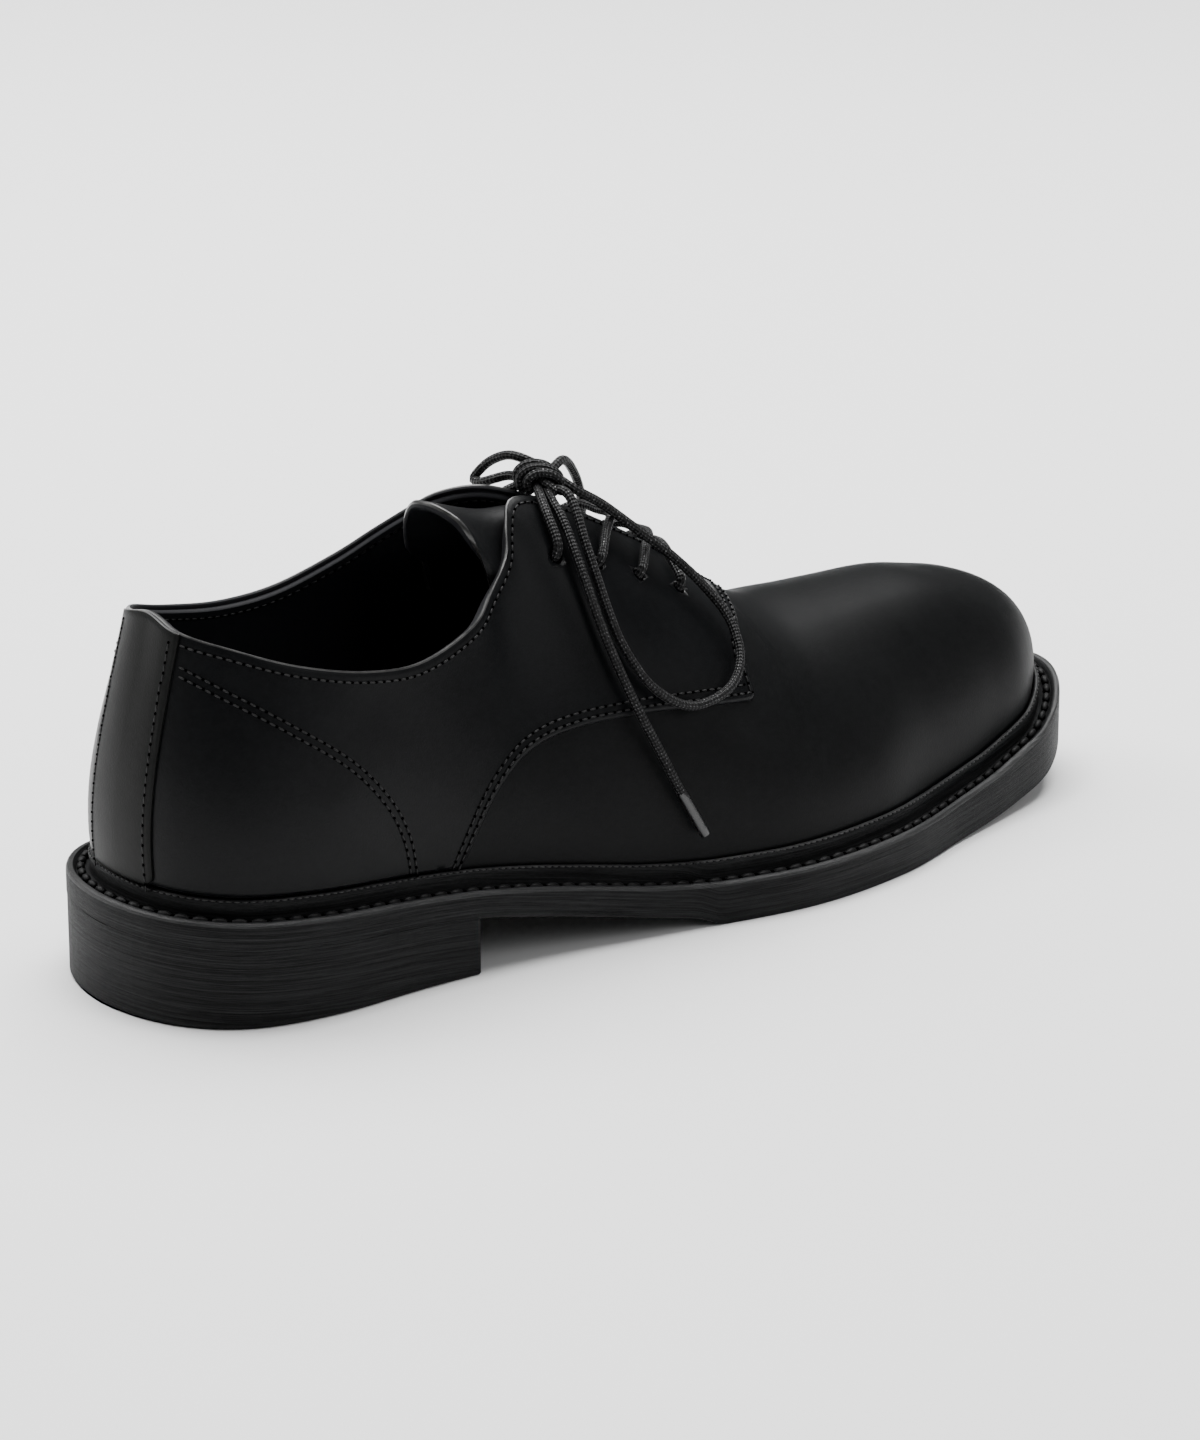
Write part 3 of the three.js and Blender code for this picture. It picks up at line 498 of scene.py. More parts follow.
def cut(rows, faces, level, keep_low):
    """Cuts the faces along the line where the field has this level."""
    value = rows[:, 9] - level
    made, cache, kept = [], {}, []

    def between(a, b):
        key = (min(a, b), max(a, b))
        if key not in cache:
            cache[key] = len(rows) + len(made)
            made.append(rows[a] + (rows[b] - rows[a]) * value[a] / (value[a] - value[b]))
        return cache[key]

    for face in faces:
        inside = [value[v] >= 0 for v in face]
        if all(inside):
            kept.append(face)
            continue
        if not any(inside):
            if keep_low:
                kept.append(face)
            continue
        high, low = [], []
        for n, a in enumerate(face):
            b = face[(n + 1) % len(face)]
            (high if inside[n] else low).append(a)
            if inside[n] != inside[(n + 1) % len(face)]:
                middle = between(a, b)
                high.append(middle)
                low.append(middle)
        kept.append(high)
        if keep_low:
            kept.append(low)
    rows = np.concatenate([rows, made]) if made else rows
    return rows, [face for face in kept if len(face) > 2]


def thicken(rows, faces, outer, inner, edge_outer, bulge, soft=0.6):
    """A closed wall from a sheet. Its edge is rounded down over soft millimetres."""
    used = sorted({v for face in faces for v in face})
    number = {v: n for n, v in enumerate(used)}
    rows = rows[used]
    faces = [[number[v] for v in face] for face in faces]
    place, normal, rim, field = rows[:, :3], rows[:, 3:6], rows[:, 6:9], rows[:, 9]
    weight = np.clip(field / soft, 0, 1)
    weight = 1 - (1 - weight) ** 2
    over = (edge_outer + (outer - edge_outer) * weight)[:, None]
    count = len(rows)
    points = [place + normal * over, place + normal * inner]
    edges = {(face[n - 1], v) for face in faces for n, v in enumerate(face)}
    border = [(a, b) for a, b in edges if (b, a) not in edges]
    on_border = sorted({v for edge in border for v in edge})
    index = {v: n for n, v in enumerate(on_border)}
    for share, height in ((0.15, 0.75), (0.5, 1.0), (0.85, 0.75)):
        level = over[on_border] * (1 - share) + inner * share
        points.append(place[on_border] + normal[on_border] * level + rim[on_border] * bulge * height)
    made = [tuple(face) for face in faces] + [tuple(count + v for v in reversed(face)) for face in faces]
    parts = [0] * len(faces) + [2] * len(faces)
    ring = len(on_border)
    for a, b in border:
        chain_a = [a] + [2 * count + ring * n + index[a] for n in range(3)] + [count + a]
        chain_b = [b] + [2 * count + ring * n + index[b] for n in range(3)] + [count + b]
        is_rim = np.linalg.norm(rim[a]) > 0.5 and np.linalg.norm(rim[b]) > 0.5
        for n in range(4):
            made.append((chain_b[n], chain_a[n], chain_a[n + 1], chain_b[n + 1]))
            # On a rim the outer half takes the second material; where that is the edge finish it paints a thin
            # highlight.
            parts.append((1 if n < 2 else 2) if is_rim else 0)
    return np.concatenate(points), made, parts


# Finishes
class Value:
    """A shader socket that takes part in Python sums."""

    def __init__(self, finish, socket):
        self.finish = finish
        self.socket = socket

    def sum(self, operation, first, second):
        return self.finish.node("ShaderNodeMath", {"operation": operation}, {0: first, 1: second})

    def __add__(self, other):
        return self.sum("ADD", self, other)

    __radd__ = __add__

    def __mul__(self, other):
        return self.sum("MULTIPLY", self, other)

    __rmul__ = __mul__

    def __sub__(self, other):
        return self.sum("SUBTRACT", self, other)

    def __rsub__(self, other):
        return self.sum("SUBTRACT", other, self)

    def __pow__(self, other):
        return self.sum("POWER", self, other)

    def sine(self):
        return self.sum("SINE", self, 0)

    def clamp(self, low, high):
        settings = {"data_type": "FLOAT", "clamp": True}
        return self.finish.node("ShaderNodeMapRange", settings, {0: self, 1: low, 2: high, 3: 0.0, 4: 1.0})


class Finish:
    """A material whose looks are worked out in its nodes."""

    def __init__(self, name, **plain):
        self.material = bpy.data.materials.new(name)
        self.material.use_nodes = True
        self.tree = self.material.node_tree
        self.shader = self.tree.nodes["Principled BSDF"]
        for socket, value in plain.items():
            self.shader.inputs[socket.replace("_", " ")].default_value = value

    def node(self, kind, settings=None, sockets=None, output=0):
        made = self.tree.nodes.new(kind)
        for key, value in (settings or {}).items():
            if key == "clamp" and kind == "ShaderNodeMapRange":
                made.clamp = value
            elif key == "stops":
                ramp = made.color_ramp
                for n, (place, shade) in enumerate(value):
                    stop = ramp.elements[n] if n < len(ramp.elements) else ramp.elements.new(place)
                    stop.position = place
                    stop.color = (shade, shade, shade, 1) if isinstance(shade, (int, float)) else shade
            else:
                setattr(made, key, value)
        for key, value in (sockets or {}).items():
            if isinstance(value, Value):
                self.tree.links.new(value.socket, made.inputs[key])
            else:
                made.inputs[key].default_value = value
        return Value(self, made.outputs[output])

    def place(self, scale=(1, 1, 1)):
        coordinates = self.node("ShaderNodeTexCoord", output="Object")
        return self.node("ShaderNodeMapping", {}, {"Vector": coordinates, "Scale": scale})

    def noise(self, vector, scale, detail=3.0, roughness=0.5):
        sockets = {"Vector": vector, "Scale": scale, "Detail": detail, "Roughness": roughness}
        return self.node("ShaderNodeTexNoise", {}, sockets)

    def cells(self, vector, scale, feature="F1"):
        return self.node("ShaderNodeTexVoronoi", {"feature": feature}, {"Vector": vector, "Scale": scale})

    def colour(self, factor, dark, light):
        sockets = {"Factor": factor, 6: (*dark, 1), 7: (*light, 1)}
        return self.node("ShaderNodeMix", {"data_type": "RGBA"}, sockets, output=2)

    def use(self, socket, value):
        self.tree.links.new(value.socket, self.shader.inputs[socket])

    def bump(self, height, strength, distance):
        sockets = {"Height": height, "Strength": strength, "Distance": distance}
        self.use("Normal", self.node("ShaderNodeBump", {}, sockets))


def smooth_leather(name, dark, light, rough_low, rough_high, grain=1.0, shine=0.09):
    finish = Finish(name, Specular_IOR_Level=shine, Coat_Weight=0.02, Coat_Roughness=0.25)
    place = finish.place()
    mottle = finish.noise(place, 38.0, 4.0, 0.6)
    fine = finish.noise(place, 520.0, 5.0, 0.65)
    pores = finish.cells(place, 1500.0)
    pebble = finish.cells(place, 2600.0, "SMOOTH_F1")
    finish.use("Base Color", finish.colour((mottle * 0.6 + fine * 0.4).clamp(0.3, 0.7), dark, light))
    finish.use("Roughness", mottle * (rough_high - rough_low) + fine * 0.1 + (rough_low - 0.05))
    height = fine * 0.5 + pebble * 0.5 - (1 - pores.clamp(0.0, 0.25)) * 0.35 + mottle * 0.8
    finish.bump(height, 0.16 * grain, 0.00035)
    return finish.material


def lining_cloth():
    finish = Finish("lining_leather", Specular_IOR_Level=0.2)
    place = finish.place()
    nap = finish.noise(place, 260.0, 6.0, 0.7)
    finish.use("Base Color", finish.colour(nap, (0.002, 0.0021, 0.003), (0.006, 0.0064, 0.009)))
    finish.use("Roughness", nap * 0.2 + 0.62)
    finish.bump(nap, 0.3, 0.0004)
    return finish.material


def sole_rubber(name="sole_rubber", shine=0.1, smoother=0.0):
    finish = Finish(name, Specular_IOR_Level=shine)
    place = finish.place()
    apart = finish.node("ShaderNodeSeparateXYZ", {}, {0: place})
    across = apart
    along = Value(finish, apart.socket.node.outputs[1])
    rise = finish.node("ShaderNodeAttribute", {"attribute_name": "rise"}, {}, output="Fac")
    layers = finish.node("ShaderNodeCombineXYZ", {}, {0: across * 22, 1: along * 22, 2: rise * 1.9})
    long_lines = finish.noise(layers, 1.0, 5.0, 0.6)
    short = finish.node("ShaderNodeCombineXYZ", {}, {0: across * 110, 1: along * 110, 2: rise * 3.4})
    scratches = finish.noise(short, 1.0, 4.0, 0.7)
    dust = finish.noise(place, 900.0, 3.0, 0.6)
    streak = (long_lines * 0.6 + scratches * 0.4).clamp(0.42, 0.64)
    finish.use("Base Color", finish.colour(streak, (0.0018, 0.0019, 0.0022), (0.0185, 0.019, 0.0195)))
    finish.use("Roughness", scratches * 0.25 + dust * 0.12 + (0.36 - smoother))
    finish.bump(long_lines * 0.8 + scratches * 0.8 + dust * 0.15, 0.55, 0.0006)
    return finish.material


def burnished_edge_painted_highlight():
    finish = Finish("burnished_edge_painted_highlight", Specular_IOR_Level=0.5, Coat_Weight=0.25, Coat_Roughness=0.2)
    place = finish.place()
    wear_and_highlight = finish.noise(place, 300.0, 4.0, 0.6)
    painted_highlight_and_wear = wear_and_highlight.clamp(0.35, 0.7)
    # The edge is painted lighter than the leather beside it, a painted highlight along the rim; the noise adds
    # wear.
    finish.use("Base Color", finish.colour(painted_highlight_and_wear, (0.0045, 0.0045, 0.0048), (0.022, 0.0215, 0.0205)))
    finish.use("Roughness", wear_and_highlight * 0.25 + 0.22)
    finish.bump(wear_and_highlight, 0.15, 0.0003)
    return finish.material


def sewing_thread(name="sewing_thread", light=0.009, shine=0.28):
    finish = Finish(name, Specular_IOR_Level=shine)
    place = finish.place()
    twist = finish.noise(place, 1600.0, 2.0, 0.5)
    finish.use("Base Color", finish.colour(twist, (0.0025, 0.0025, 0.003), (light, light, light)))
    finish.use("Roughness", twist * 0.3 + 0.35)
    finish.bump(twist, 0.4, 0.0003)
    return finish.material


def waxed_braid():
    finish = Finish("waxed_braid", Specular_IOR_Level=0.16, Coat_Roughness=0.18)
    coordinates = finish.node("ShaderNodeTexCoord", output="UV")
    apart = finish.node("ShaderNodeSeparateXYZ", {}, {0: coordinates})
    around = apart * (2 * math.pi * 5)
    along = Value(finish, apart.socket.node.outputs[1]) * (2 * math.pi / 1.9)
    strands = (around + along).sine() * (around - along).sine()
    weave = strands * 0.5 + 0.5
    fibre = finish.noise(finish.place(), 1700.0, 3.0, 0.6)
    # Spots where fibre and weave peak are lifted towards a light grey in the braid's colour, a painted glint; the
    # same spots also get a real coat.
    glint = ((fibre * weave - 0.43) * 9).clamp(0.0, 1.0)
    tone = (weave * 0.06 + fibre * 0.03 + glint * 0.9).clamp(0.0, 1.0)
    finish.use("Base Color", finish.colour(tone, (0.0008, 0.0008, 0.001), (0.075, 0.075, 0.077)))
    finish.use("Roughness", fibre * 0.4 + 0.25)
    finish.use("Coat Weight", glint * 0.9)
    finish.bump(weave + fibre * 0.3, 1.0, 0.0003)
    return finish.material


# Near-black dots between the stitches stand in for needle holes: painted shade, as no hole is cut.
def needle_hole_painted_shade():
    finish = Finish("needle_hole_painted_shade", Specular_IOR_Level=0.0)
    depth = finish.noise(finish.place(), 900.0)
    finish.use("Base Color", finish.colour(depth, (0.0002, 0.0002, 0.0002), (0.001, 0.001, 0.001)))
    finish.use("Roughness", depth * 0.1 + 0.85)
    return finish.material


def aglet_plastic():
    finish = Finish("aglet_plastic", Specular_IOR_Level=0.5, Coat_Weight=0.3, Coat_Roughness=0.15)
    place = finish.place()
    scuff = finish.noise(place, 400.0, 3.0, 0.5)
    finish.use("Base Color", finish.colour(scuff, (0.0022, 0.0022, 0.0025), (0.007, 0.007, 0.0075)))
    finish.use("Roughness", scuff * 0.2 + 0.2)
    finish.bump(scuff, 0.1, 0.0002)
    return finish.material


# One black leather in several copies: the backstay's lighter colour is a painted highlight and the quarters'
# darker colour is painted shade.
VAMP_LEATHER = smooth_leather(
    "vamp_leather", (0.0028, 0.003, 0.0032), (0.0052, 0.0055, 0.0058), 0.42, 0.54, 1.0, 0.062
)
QUARTER_LEATHER_PAINTED_SHADE = smooth_leather(
    "quarter_leather_painted_shade", (0.0018, 0.002, 0.0023), (0.0042, 0.0045, 0.005), 0.3, 0.42, 1.0, 0.08
)
BACKSTAY_LEATHER_PAINTED_HIGHLIGHT = smooth_leather(
    "backstay_leather_painted_highlight", (0.0038, 0.0041, 0.0039), (0.0076, 0.008, 0.0076), 0.36, 0.48, 1.0, 0.08
)
TONGUE_LEATHER = smooth_leather(
    "tongue_leather", (0.0026, 0.0028, 0.0031), (0.0052, 0.0055, 0.006), 0.42, 0.54
)
INSOLE_LEATHER = smooth_leather(
    "insole_leather", (0.003, 0.0032, 0.0036), (0.006, 0.0063, 0.0072), 0.5, 0.65, 1.6
)
LINING = lining_cloth()
RUBBER = sole_rubber()
WELT_RIM = sole_rubber("welt_rim", 0.3, 0.1)
EDGE = burnished_edge_painted_highlight()
THREAD = sewing_thread()
WELT_THREAD = sewing_thread("welt_thread", 0.006, 0.12)
LIP_MARK_PAINTED_HIGHLIGHT = sewing_thread("lip_marks_painted_highlight", 0.03, 0.4)
BRAID = waxed_braid()
AGLET = aglet_plastic()
HOLE_PAINTED_SHADE = needle_hole_painted_shade()


# Pieces
def make_piece(name, points, faces, materials, parts=None, uv=None, rise=None, sharp=40, merge=0.004):
    mesh = bpy.data.meshes.new(name)
    places = (np.asarray(points, float) - ORIGIN) * 0.001
    mesh.from_pydata(places.tolist(), [], [tuple(int(v) for v in face) for face in faces])
    for material in materials:
        mesh.materials.append(material)
    if parts is not None:
        mesh.polygons.foreach_set("material_index", np.array(parts, np.int32))
    if uv is not None:
        layer = mesh.uv_layers.new(name="UVMap")
        corner = np.zeros(len(mesh.loops), np.int32)
        mesh.loops.foreach_get("vertex_index", corner)
        layer.data.foreach_set("uv", np.asarray(uv, np.float32)[corner].ravel())
    if rise is not None:
        attribute = mesh.attributes.new("rise", "FLOAT", "POINT")
        attribute.data.foreach_set("value", np.asarray(rise, np.float32))
    shape = bmesh.new()
    shape.from_mesh(mesh)
    bmesh.ops.remove_doubles(shape, verts=shape.verts, dist=merge * 0.001)
    bmesh.ops.dissolve_degenerate(shape, dist=1e-7, edges=shape.edges)
    if shape.calc_volume(signed=True) < 0:
        bmesh.ops.reverse_faces(shape, faces=shape.faces)
    shape.to_mesh(mesh)
    shape.free()
    mesh.shade_smooth()
    mesh.set_sharp_from_angle(angle=math.radians(sharp))
    piece = bpy.data.objects.new(name, mesh)
    bpy.context.scene.collection.objects.link(piece)
    return piece


def settle(piece, slot, *nodes):
    """Rides the piece and hides the solids it stands for. Its slot is not used."""
    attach(piece, "root")
    if nodes:
        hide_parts(*nodes)
    return piece


def tube(points, radius, sides=14, taper=None):
    """A round cord along points, with its seam and length in its map."""
    points = np.asarray(points, float)
    tangent = unit(np.gradient(points, axis=0))
    normal = unit(np.cross(tangent[0], [0.3, 0.2, 0.93]))
    lengths = np.concatenate([[0], np.cumsum(np.linalg.norm(np.diff(points, axis=0), axis=1))])
    angles = np.linspace(0, 2 * np.pi, sides + 1)
    rings, uv = [], []
    for i, centre in enumerate(points):
        normal = unit(normal - tangent[i] * (normal @ tangent[i]))
        side = np.cross(tangent[i], normal)
        size = radius * (taper[i] if taper is not None else 1)
        rings.append(centre + (np.cos(angles)[:, None] * normal + np.sin(angles)[:, None] * side) * size)
        uv += [(a / (2 * np.pi), lengths[i]) for a in angles]
    count = sides + 1
    faces = [
        (i * count + k, i * count + k + 1, (i + 1) * count + k + 1, (i + 1) * count + k)
        for i in range(len(points) - 1)
        for k in range(sides)
    ]
    caps = [points[0] - tangent[0] * radius * 0.35, points[-1] + tangent[-1] * radius * 0.35]
    made = np.concatenate([np.concatenate(rings), caps])
    first, final = len(made) - 2, len(made) - 1
    uv += [(0.5, 0), (0.5, lengths[-1])]
    end = (len(points) - 1) * count
    faces += [(k + 1, k, first) for k in range(sides)] + [(end + k, end + k + 1, final) for k in range(sides)]
    return made, faces, uv


def join(parts):
    """Several point and face lists as one."""
    points, faces, uv, start = [], [], [], 0
    for part in parts:
        points.append(np.asarray(part[0]))
        faces += [tuple(v + start for v in face) for face in part[1]]
        if len(part) > 2:
            uv += list(part[2])
        start += len(part[0])
    return np.concatenate(points), faces, (uv or None)


# The camera stands where the photograph's did
camera = bpy.data.objects.new("camera", bpy.data.cameras.new("camera"))
camera.data.sensor_width = 36
camera.data.lens = 98.2 * 1.25
camera.location = (0.9267, -0.6130, 0.4340)
forward = Vector((-0.7479, 0.5827, -0.3180))
camera.rotation_euler = forward.to_track_quat("-Z", "Y").to_euler()
camera.data.clip_end = 20
bpy.context.scene.collection.objects.link(camera)
bpy.context.scene.camera = camera

# The lace
base_tree = BVHTree.FromPolygons(
    last.reshape(-1, 3).tolist(),
    [tuple(int(v) for v in (IDS[i, k], IDS[(i + 1) % STATIONS, k], IDS[(i + 1) % STATIONS, k + 1], IDS[i, k + 1]))
     for i in range(STATIONS) for k in range(SHARES)],
)


def instep(x, y, lift):
    """The point of the last over (x, y), moved out by lift. Across the throat it is a straight bridge."""
    half = FACING_GAP / 2 + 0.4
    if abs(x) < half and y < (TOPLINE[THROAT_END_ROW, 1] - 0.02) * SOLE_LENGTH:
        share = (x + half) / (2 * half)
        return instep(-half, y, lift) * (1 - share) + instep(half, y, lift) * share
    hit, normal, _, _ = base_tree.ray_cast(Vector((x, y, 200)), Vector((0, 0, -1)))
    if hit is None or hit.z < 0.4 * UPPER_HEIGHT and abs(x) < half:
        share = (x + half) / (2 * half)
        return instep(-half - 0.01, y, lift) * (1 - share) + instep(half + 0.01, y, lift) * share
    if normal.z < 0:
        normal = -normal
    return np.array(hit) + np.array(normal) * lift


def lace_cord(name, points, node, step=0.9):
    path = even(centripetal(points, (len(points) - 1) * 10), step)
    made, faces, uv = tube(path, LACE_RADIUS)
    piece = settle(make_piece(name, made, faces, [BRAID], uv=uv, sharp=70), "lace_cord", node)
    route = (path - ORIGIN) * 0.001
    line_length(route)
    return piece


def aglet(name, points):
    """The tube crimped on the end of a lace."""
    path = even(centripetal(points, (len(points) - 1) * 10), 0.8)
    path = path[-17:]
    swell = np.full(len(path), 1.0)
    swell[0] = swell[-1] = 0.93
    outward_end = path[-1] - path[-2]
    path[-1] = path[-1] + outward_end * 0.8
    made, faces, uv = tube(path, LACE_RADIUS + 0.14, 18, swell)
    return settle(make_piece(name, made, faces, [AGLET], uv=uv), "lace_cord")


def knot_parts():
    centre = np.array([0, 131, 105.6])
    routes = []
    for side in (1, -1):
        x = side * EYELET_ACROSS
        routes.append([
            instep(x, EYELETS_ALONG[0], -1.6), instep(x, EYELETS_ALONG[0], 0.4),
            instep(x * 0.94, EYELETS_ALONG[0] + 0.2, LACE_REST),
            instep(x * 0.55, EYELETS_ALONG[0] + 1, LACE_REST + 0.4),
            centre + [2.5 * side, -2.6, -0.3], centre + [-2.8 * side, 0.4, 0.6 - 0.8 * side],
        ])
    routes.append([
        [-1, 127, 103.6], [-2, 126.6, 107], [-0.6, 128.6, 109.2],
        [1.6, 132, 109.3], [3, 134.8, 107.2], [2, 135.2, 103.8],
    ])
    routes.append([
        [1.6, 127.2, 103.8], [0.9, 126.7, 106.6], [2.2, 128.6, 108.6],
        [4.2, 131.8, 108.3], [5, 134, 106.2], [4.4, 134.6, 103.6],
    ])
    routes.append([
        [-7, 129, 105.6], [-3.6, 128.6, 107], [0, 129.6, 107.2],
        [3.6, 130, 106.4], [7, 131.4, 104.4],
    ])
    routes.append([[-4.6, 134.6, 106.8], [-1.6, 133.6, 105.6], [2, 133, 104.6], [7, 132.6, 104.6]])
    routes.append([[-5, 131.6, 104.4], [0, 131, 103.6], [6, 130.2, 102.9]])
    routes.append([
        [-3.5, 127.8, 104.4], [-4.4, 127.4, 107.4], [-3.2, 129.4, 109.6],
        [-1, 132.8, 109.6], [0.2, 135, 107.6], [-0.4, 135.2, 104.4],
    ])
    return join([tube(even(centripetal(route, 40), 0.7), LACE_RADIUS) for route in routes])


knot_points, knot_faces, knot_uv = knot_parts()
knot = make_piece("lace_knot_turns", knot_points, knot_faces, [BRAID], uv=knot_uv, sharp=70)
knot = settle(knot, "lace_cord", "lace_knot")
outer_aglet = aglet("aglet_outer", OUTER_END)
inner_aglet = aglet("aglet_inner", INNER_END)
lace_cord("bow_loop_outer", OUTER_LOOP, "lace_loop_outer")
lace_cord("bow_loop_inner", INNER_LOOP, "lace_loop_inner")
lace_cord("bow_end_outer", OUTER_END, "lace_end_outer")
lace_cord("bow_end_inner", INNER_END, "lace_end_inner")


def lace_bar(name, y, bow, lift):
    half = [
        (1, 0, -1.7), (1, 0, 0.6), (0.97, 0.02, LACE_REST - 0.2),
        (0.62, 0.45, LACE_REST + 0.4 * lift), (0.26, 0.9, LACE_REST + 0.9 * lift),
    ]
    places = [
        [instep(side * across * EYELET_ACROSS, y + share * bow, up) for across, share, up in half]
        for side in (1, -1)
    ]
    route = places[0] + [instep(0, y + bow, LACE_REST + lift)] + places[1][::-1]
    made, faces, uv = tube(even(centripetal(route, 80), 0.7), LACE_RADIUS)
    return settle(make_piece(name + "_braid", made, faces, [BRAID], uv=uv, sharp=70), "lace_cord", name)


lace_bar("lace_bar_upper", EYELETS_ALONG[1], 12, 1.6)
lace_bar("lace_bar_middle", EYELETS_ALONG[2], 11.5, 1.4)
lace_bar("lace_bar_lower", EYELETS_ALONG[3], 3, 0.4)


# The upper: the lasted shell, the quarters over it and the backstay
def eyelet_cutter():
    parts = []
    for side in (1, -1):
        for y in EYELETS_ALONG:
            low, high = instep(side * EYELET_ACROSS, y, -6), instep(side * EYELET_ACROSS, y, 6)
            parts.append(tube([low, high], EYELET_RADIUS, 28)[:2])
    points, faces, _ = join(parts)
    cutter = make_piece("eyelet_cutter", points, faces, [EDGE])
    return cutter


def punch(piece, cutter):
    modifier = piece.modifiers.new("holes", "BOOLEAN")
    modifier.operation = "DIFFERENCE"
    modifier.solver = "EXACT"
    modifier.object = cutter
    depsgraph = bpy.context.evaluated_depsgraph_get()
    mesh = bpy.data.meshes.new_from_object(piece.evaluated_get(depsgraph))
    piece.modifiers.clear()
    old = piece.data
    piece.data = mesh
    bpy.data.meshes.remove(old)


shell = thicken(*last_sheet(lambda p: np.full(p.shape[:-1], 9.0), drop=0.9), 0.0, -UPPER_WALL, 0.0, 0.35)
upper = make_piece("lasted_shell", shell[0], shell[1], [VAMP_LEATHER, LINING, LINING], shell[2])


def panel(field, outer, inner, edge, bulge, soft):
    rows, faces = last_sheet(field)
    for level in (soft, soft * 0.35):
        rows, faces = cut(rows, faces, level, True)
    rows, faces = cut(rows, faces, 0.0, False)
    return thicken(rows, faces, outer, inner, edge, bulge, soft)


quarter = panel(quarter_field, QUARTER_STEP, -0.3, 0.55, 0.45, 0.7)
quarters = make_piece("quarter_panels", quarter[0], quarter[1], [QUARTER_LEATHER_PAINTED_SHADE, EDGE, LINING], quarter[2])
cutter = eyelet_cutter()
punch(upper, cutter)
punch(quarters, cutter)
bpy.data.objects.remove(cutter)
settle(upper, "upper_leather", "upper")
settle(quarters, "upper_leather")
stay_step = QUARTER_STEP + 0.05
stay = panel(backstay_field, stay_step + 0.9, stay_step, stay_step + 0.5, 0.3, 0.6)
strip = make_piece("backstay_strip", stay[0], stay[1], [BACKSTAY_LEATHER_PAINTED_HIGHLIGHT, EDGE, LINING], stay[2])
settle(strip, "upper_leather", "backstay")


# Rows of stitches
def surface_side(side, y, z, lift):
    """The point of the last at (y, z) on one side, moved out by lift."""
    hit, normal, _, _ = base_tree.ray_cast(Vector((side * 120, y, z)), Vector((-side, 0, 0)))
    if hit is None:
        return None
    if normal.x * side < 0:
        normal = -normal
    return np.array(hit) + np.array(normal) * lift


def offset_line(line, distance):
    """A plane line moved to its left."""
    tangent = unit(np.gradient(line, axis=0))
    return line + np.stack([-tangent[:, 1], tangent[:, 0]], -1) * distance


def edge_row(side, depth, lift, first=0.0, final=THROAT_END_RIB - 0.15):
    """A row along the top edge, depth below it."""
    line = []
    order = range(STATIONS) if side > 0 else [0, *range(STATIONS - 1, COLUMNS, -1)]
    for i in order:
        if station_side[i] != side and station_rib[i] > 0:
            continue
        if not first <= station_rib[i] <= final:
            continue
        down = last[i, ::-1]
        lengths = np.concatenate([[0], np.cumsum(np.linalg.norm(np.diff(down, axis=0), axis=1))])
        place = [np.interp(depth, lengths, down[:, k]) for k in range(3)]
        normal = [np.interp(depth, lengths, last_normals[i, ::-1, k]) for k in range(3)]
        line.append(np.array(place) + unit(np.array(normal)) * lift)
    return np.array(line)


def stitch_rows():
    on_quarter = QUARTER_STEP + 0.12
    rows = []
    for side in (1, -1):
        rows.append(edge_row(side, 2.3, on_quarter, 1.1))
        rows.append(edge_row(side, 2.6, -UPPER_WALL - 0.1, 0.0, 10))
        for inset in (1.5, 3.3):
            seam = even(offset_line(seam_line, inset), 1.0)
            keep = (above_lip(np.insert(seam, 0, 0, 1)) > 0.5) & (seam[:, 0] < 170.4 - inset)
            seam_row = np.array([surface_side(side, y, z, on_quarter) for y, z in seam[keep]])
            rows.append(seam_row)
            corner = seam_row[seam_row[:, 1].argmax(), 2]
            front = offset_line(half_front, inset)
            front = even(front[front[:, 0] < 37.6 - inset * 0.5], 1.0)
            front = front[front[:, 0] > 5.5]
            front_row = np.array([instep(side * x, y, on_quarter) for x, y in front])
            rows.append(front_row[front_row[:, 2] > corner])
        for shift in (-0.95, 0.95):
            counter = even(offset_line(counter_line, shift), 1.0)
            keep = above_lip(np.insert(counter, 0, 0, 1)) > 0.5
            found = [surface_side(side, y, z, on_quarter) for y, z in counter[keep]]
            found = [p for p in found if p is not None and abs(p[0]) > BACKSTAY_WIDTH / 2 + 1]
            rows.append(np.array(found))
        stay_row = []
        x = BACKSTAY_WIDTH / 2 - 2.0
        for z in np.arange(31, 89, 1.0):
            hit, normal, _, _ = base_tree.ray_cast(Vector((side * x, -60, z)), Vector((0, 1, 0)))
            if hit is not None:
                normal = np.array(normal) * (1 if normal.y < 0 else -1)
                stay_row.append(np.array(hit) + normal * (stay_step + 0.9))
        rows.append(np.array(stay_row))
    return [even(row, 0.8) for row in rows if len(row) > 4]


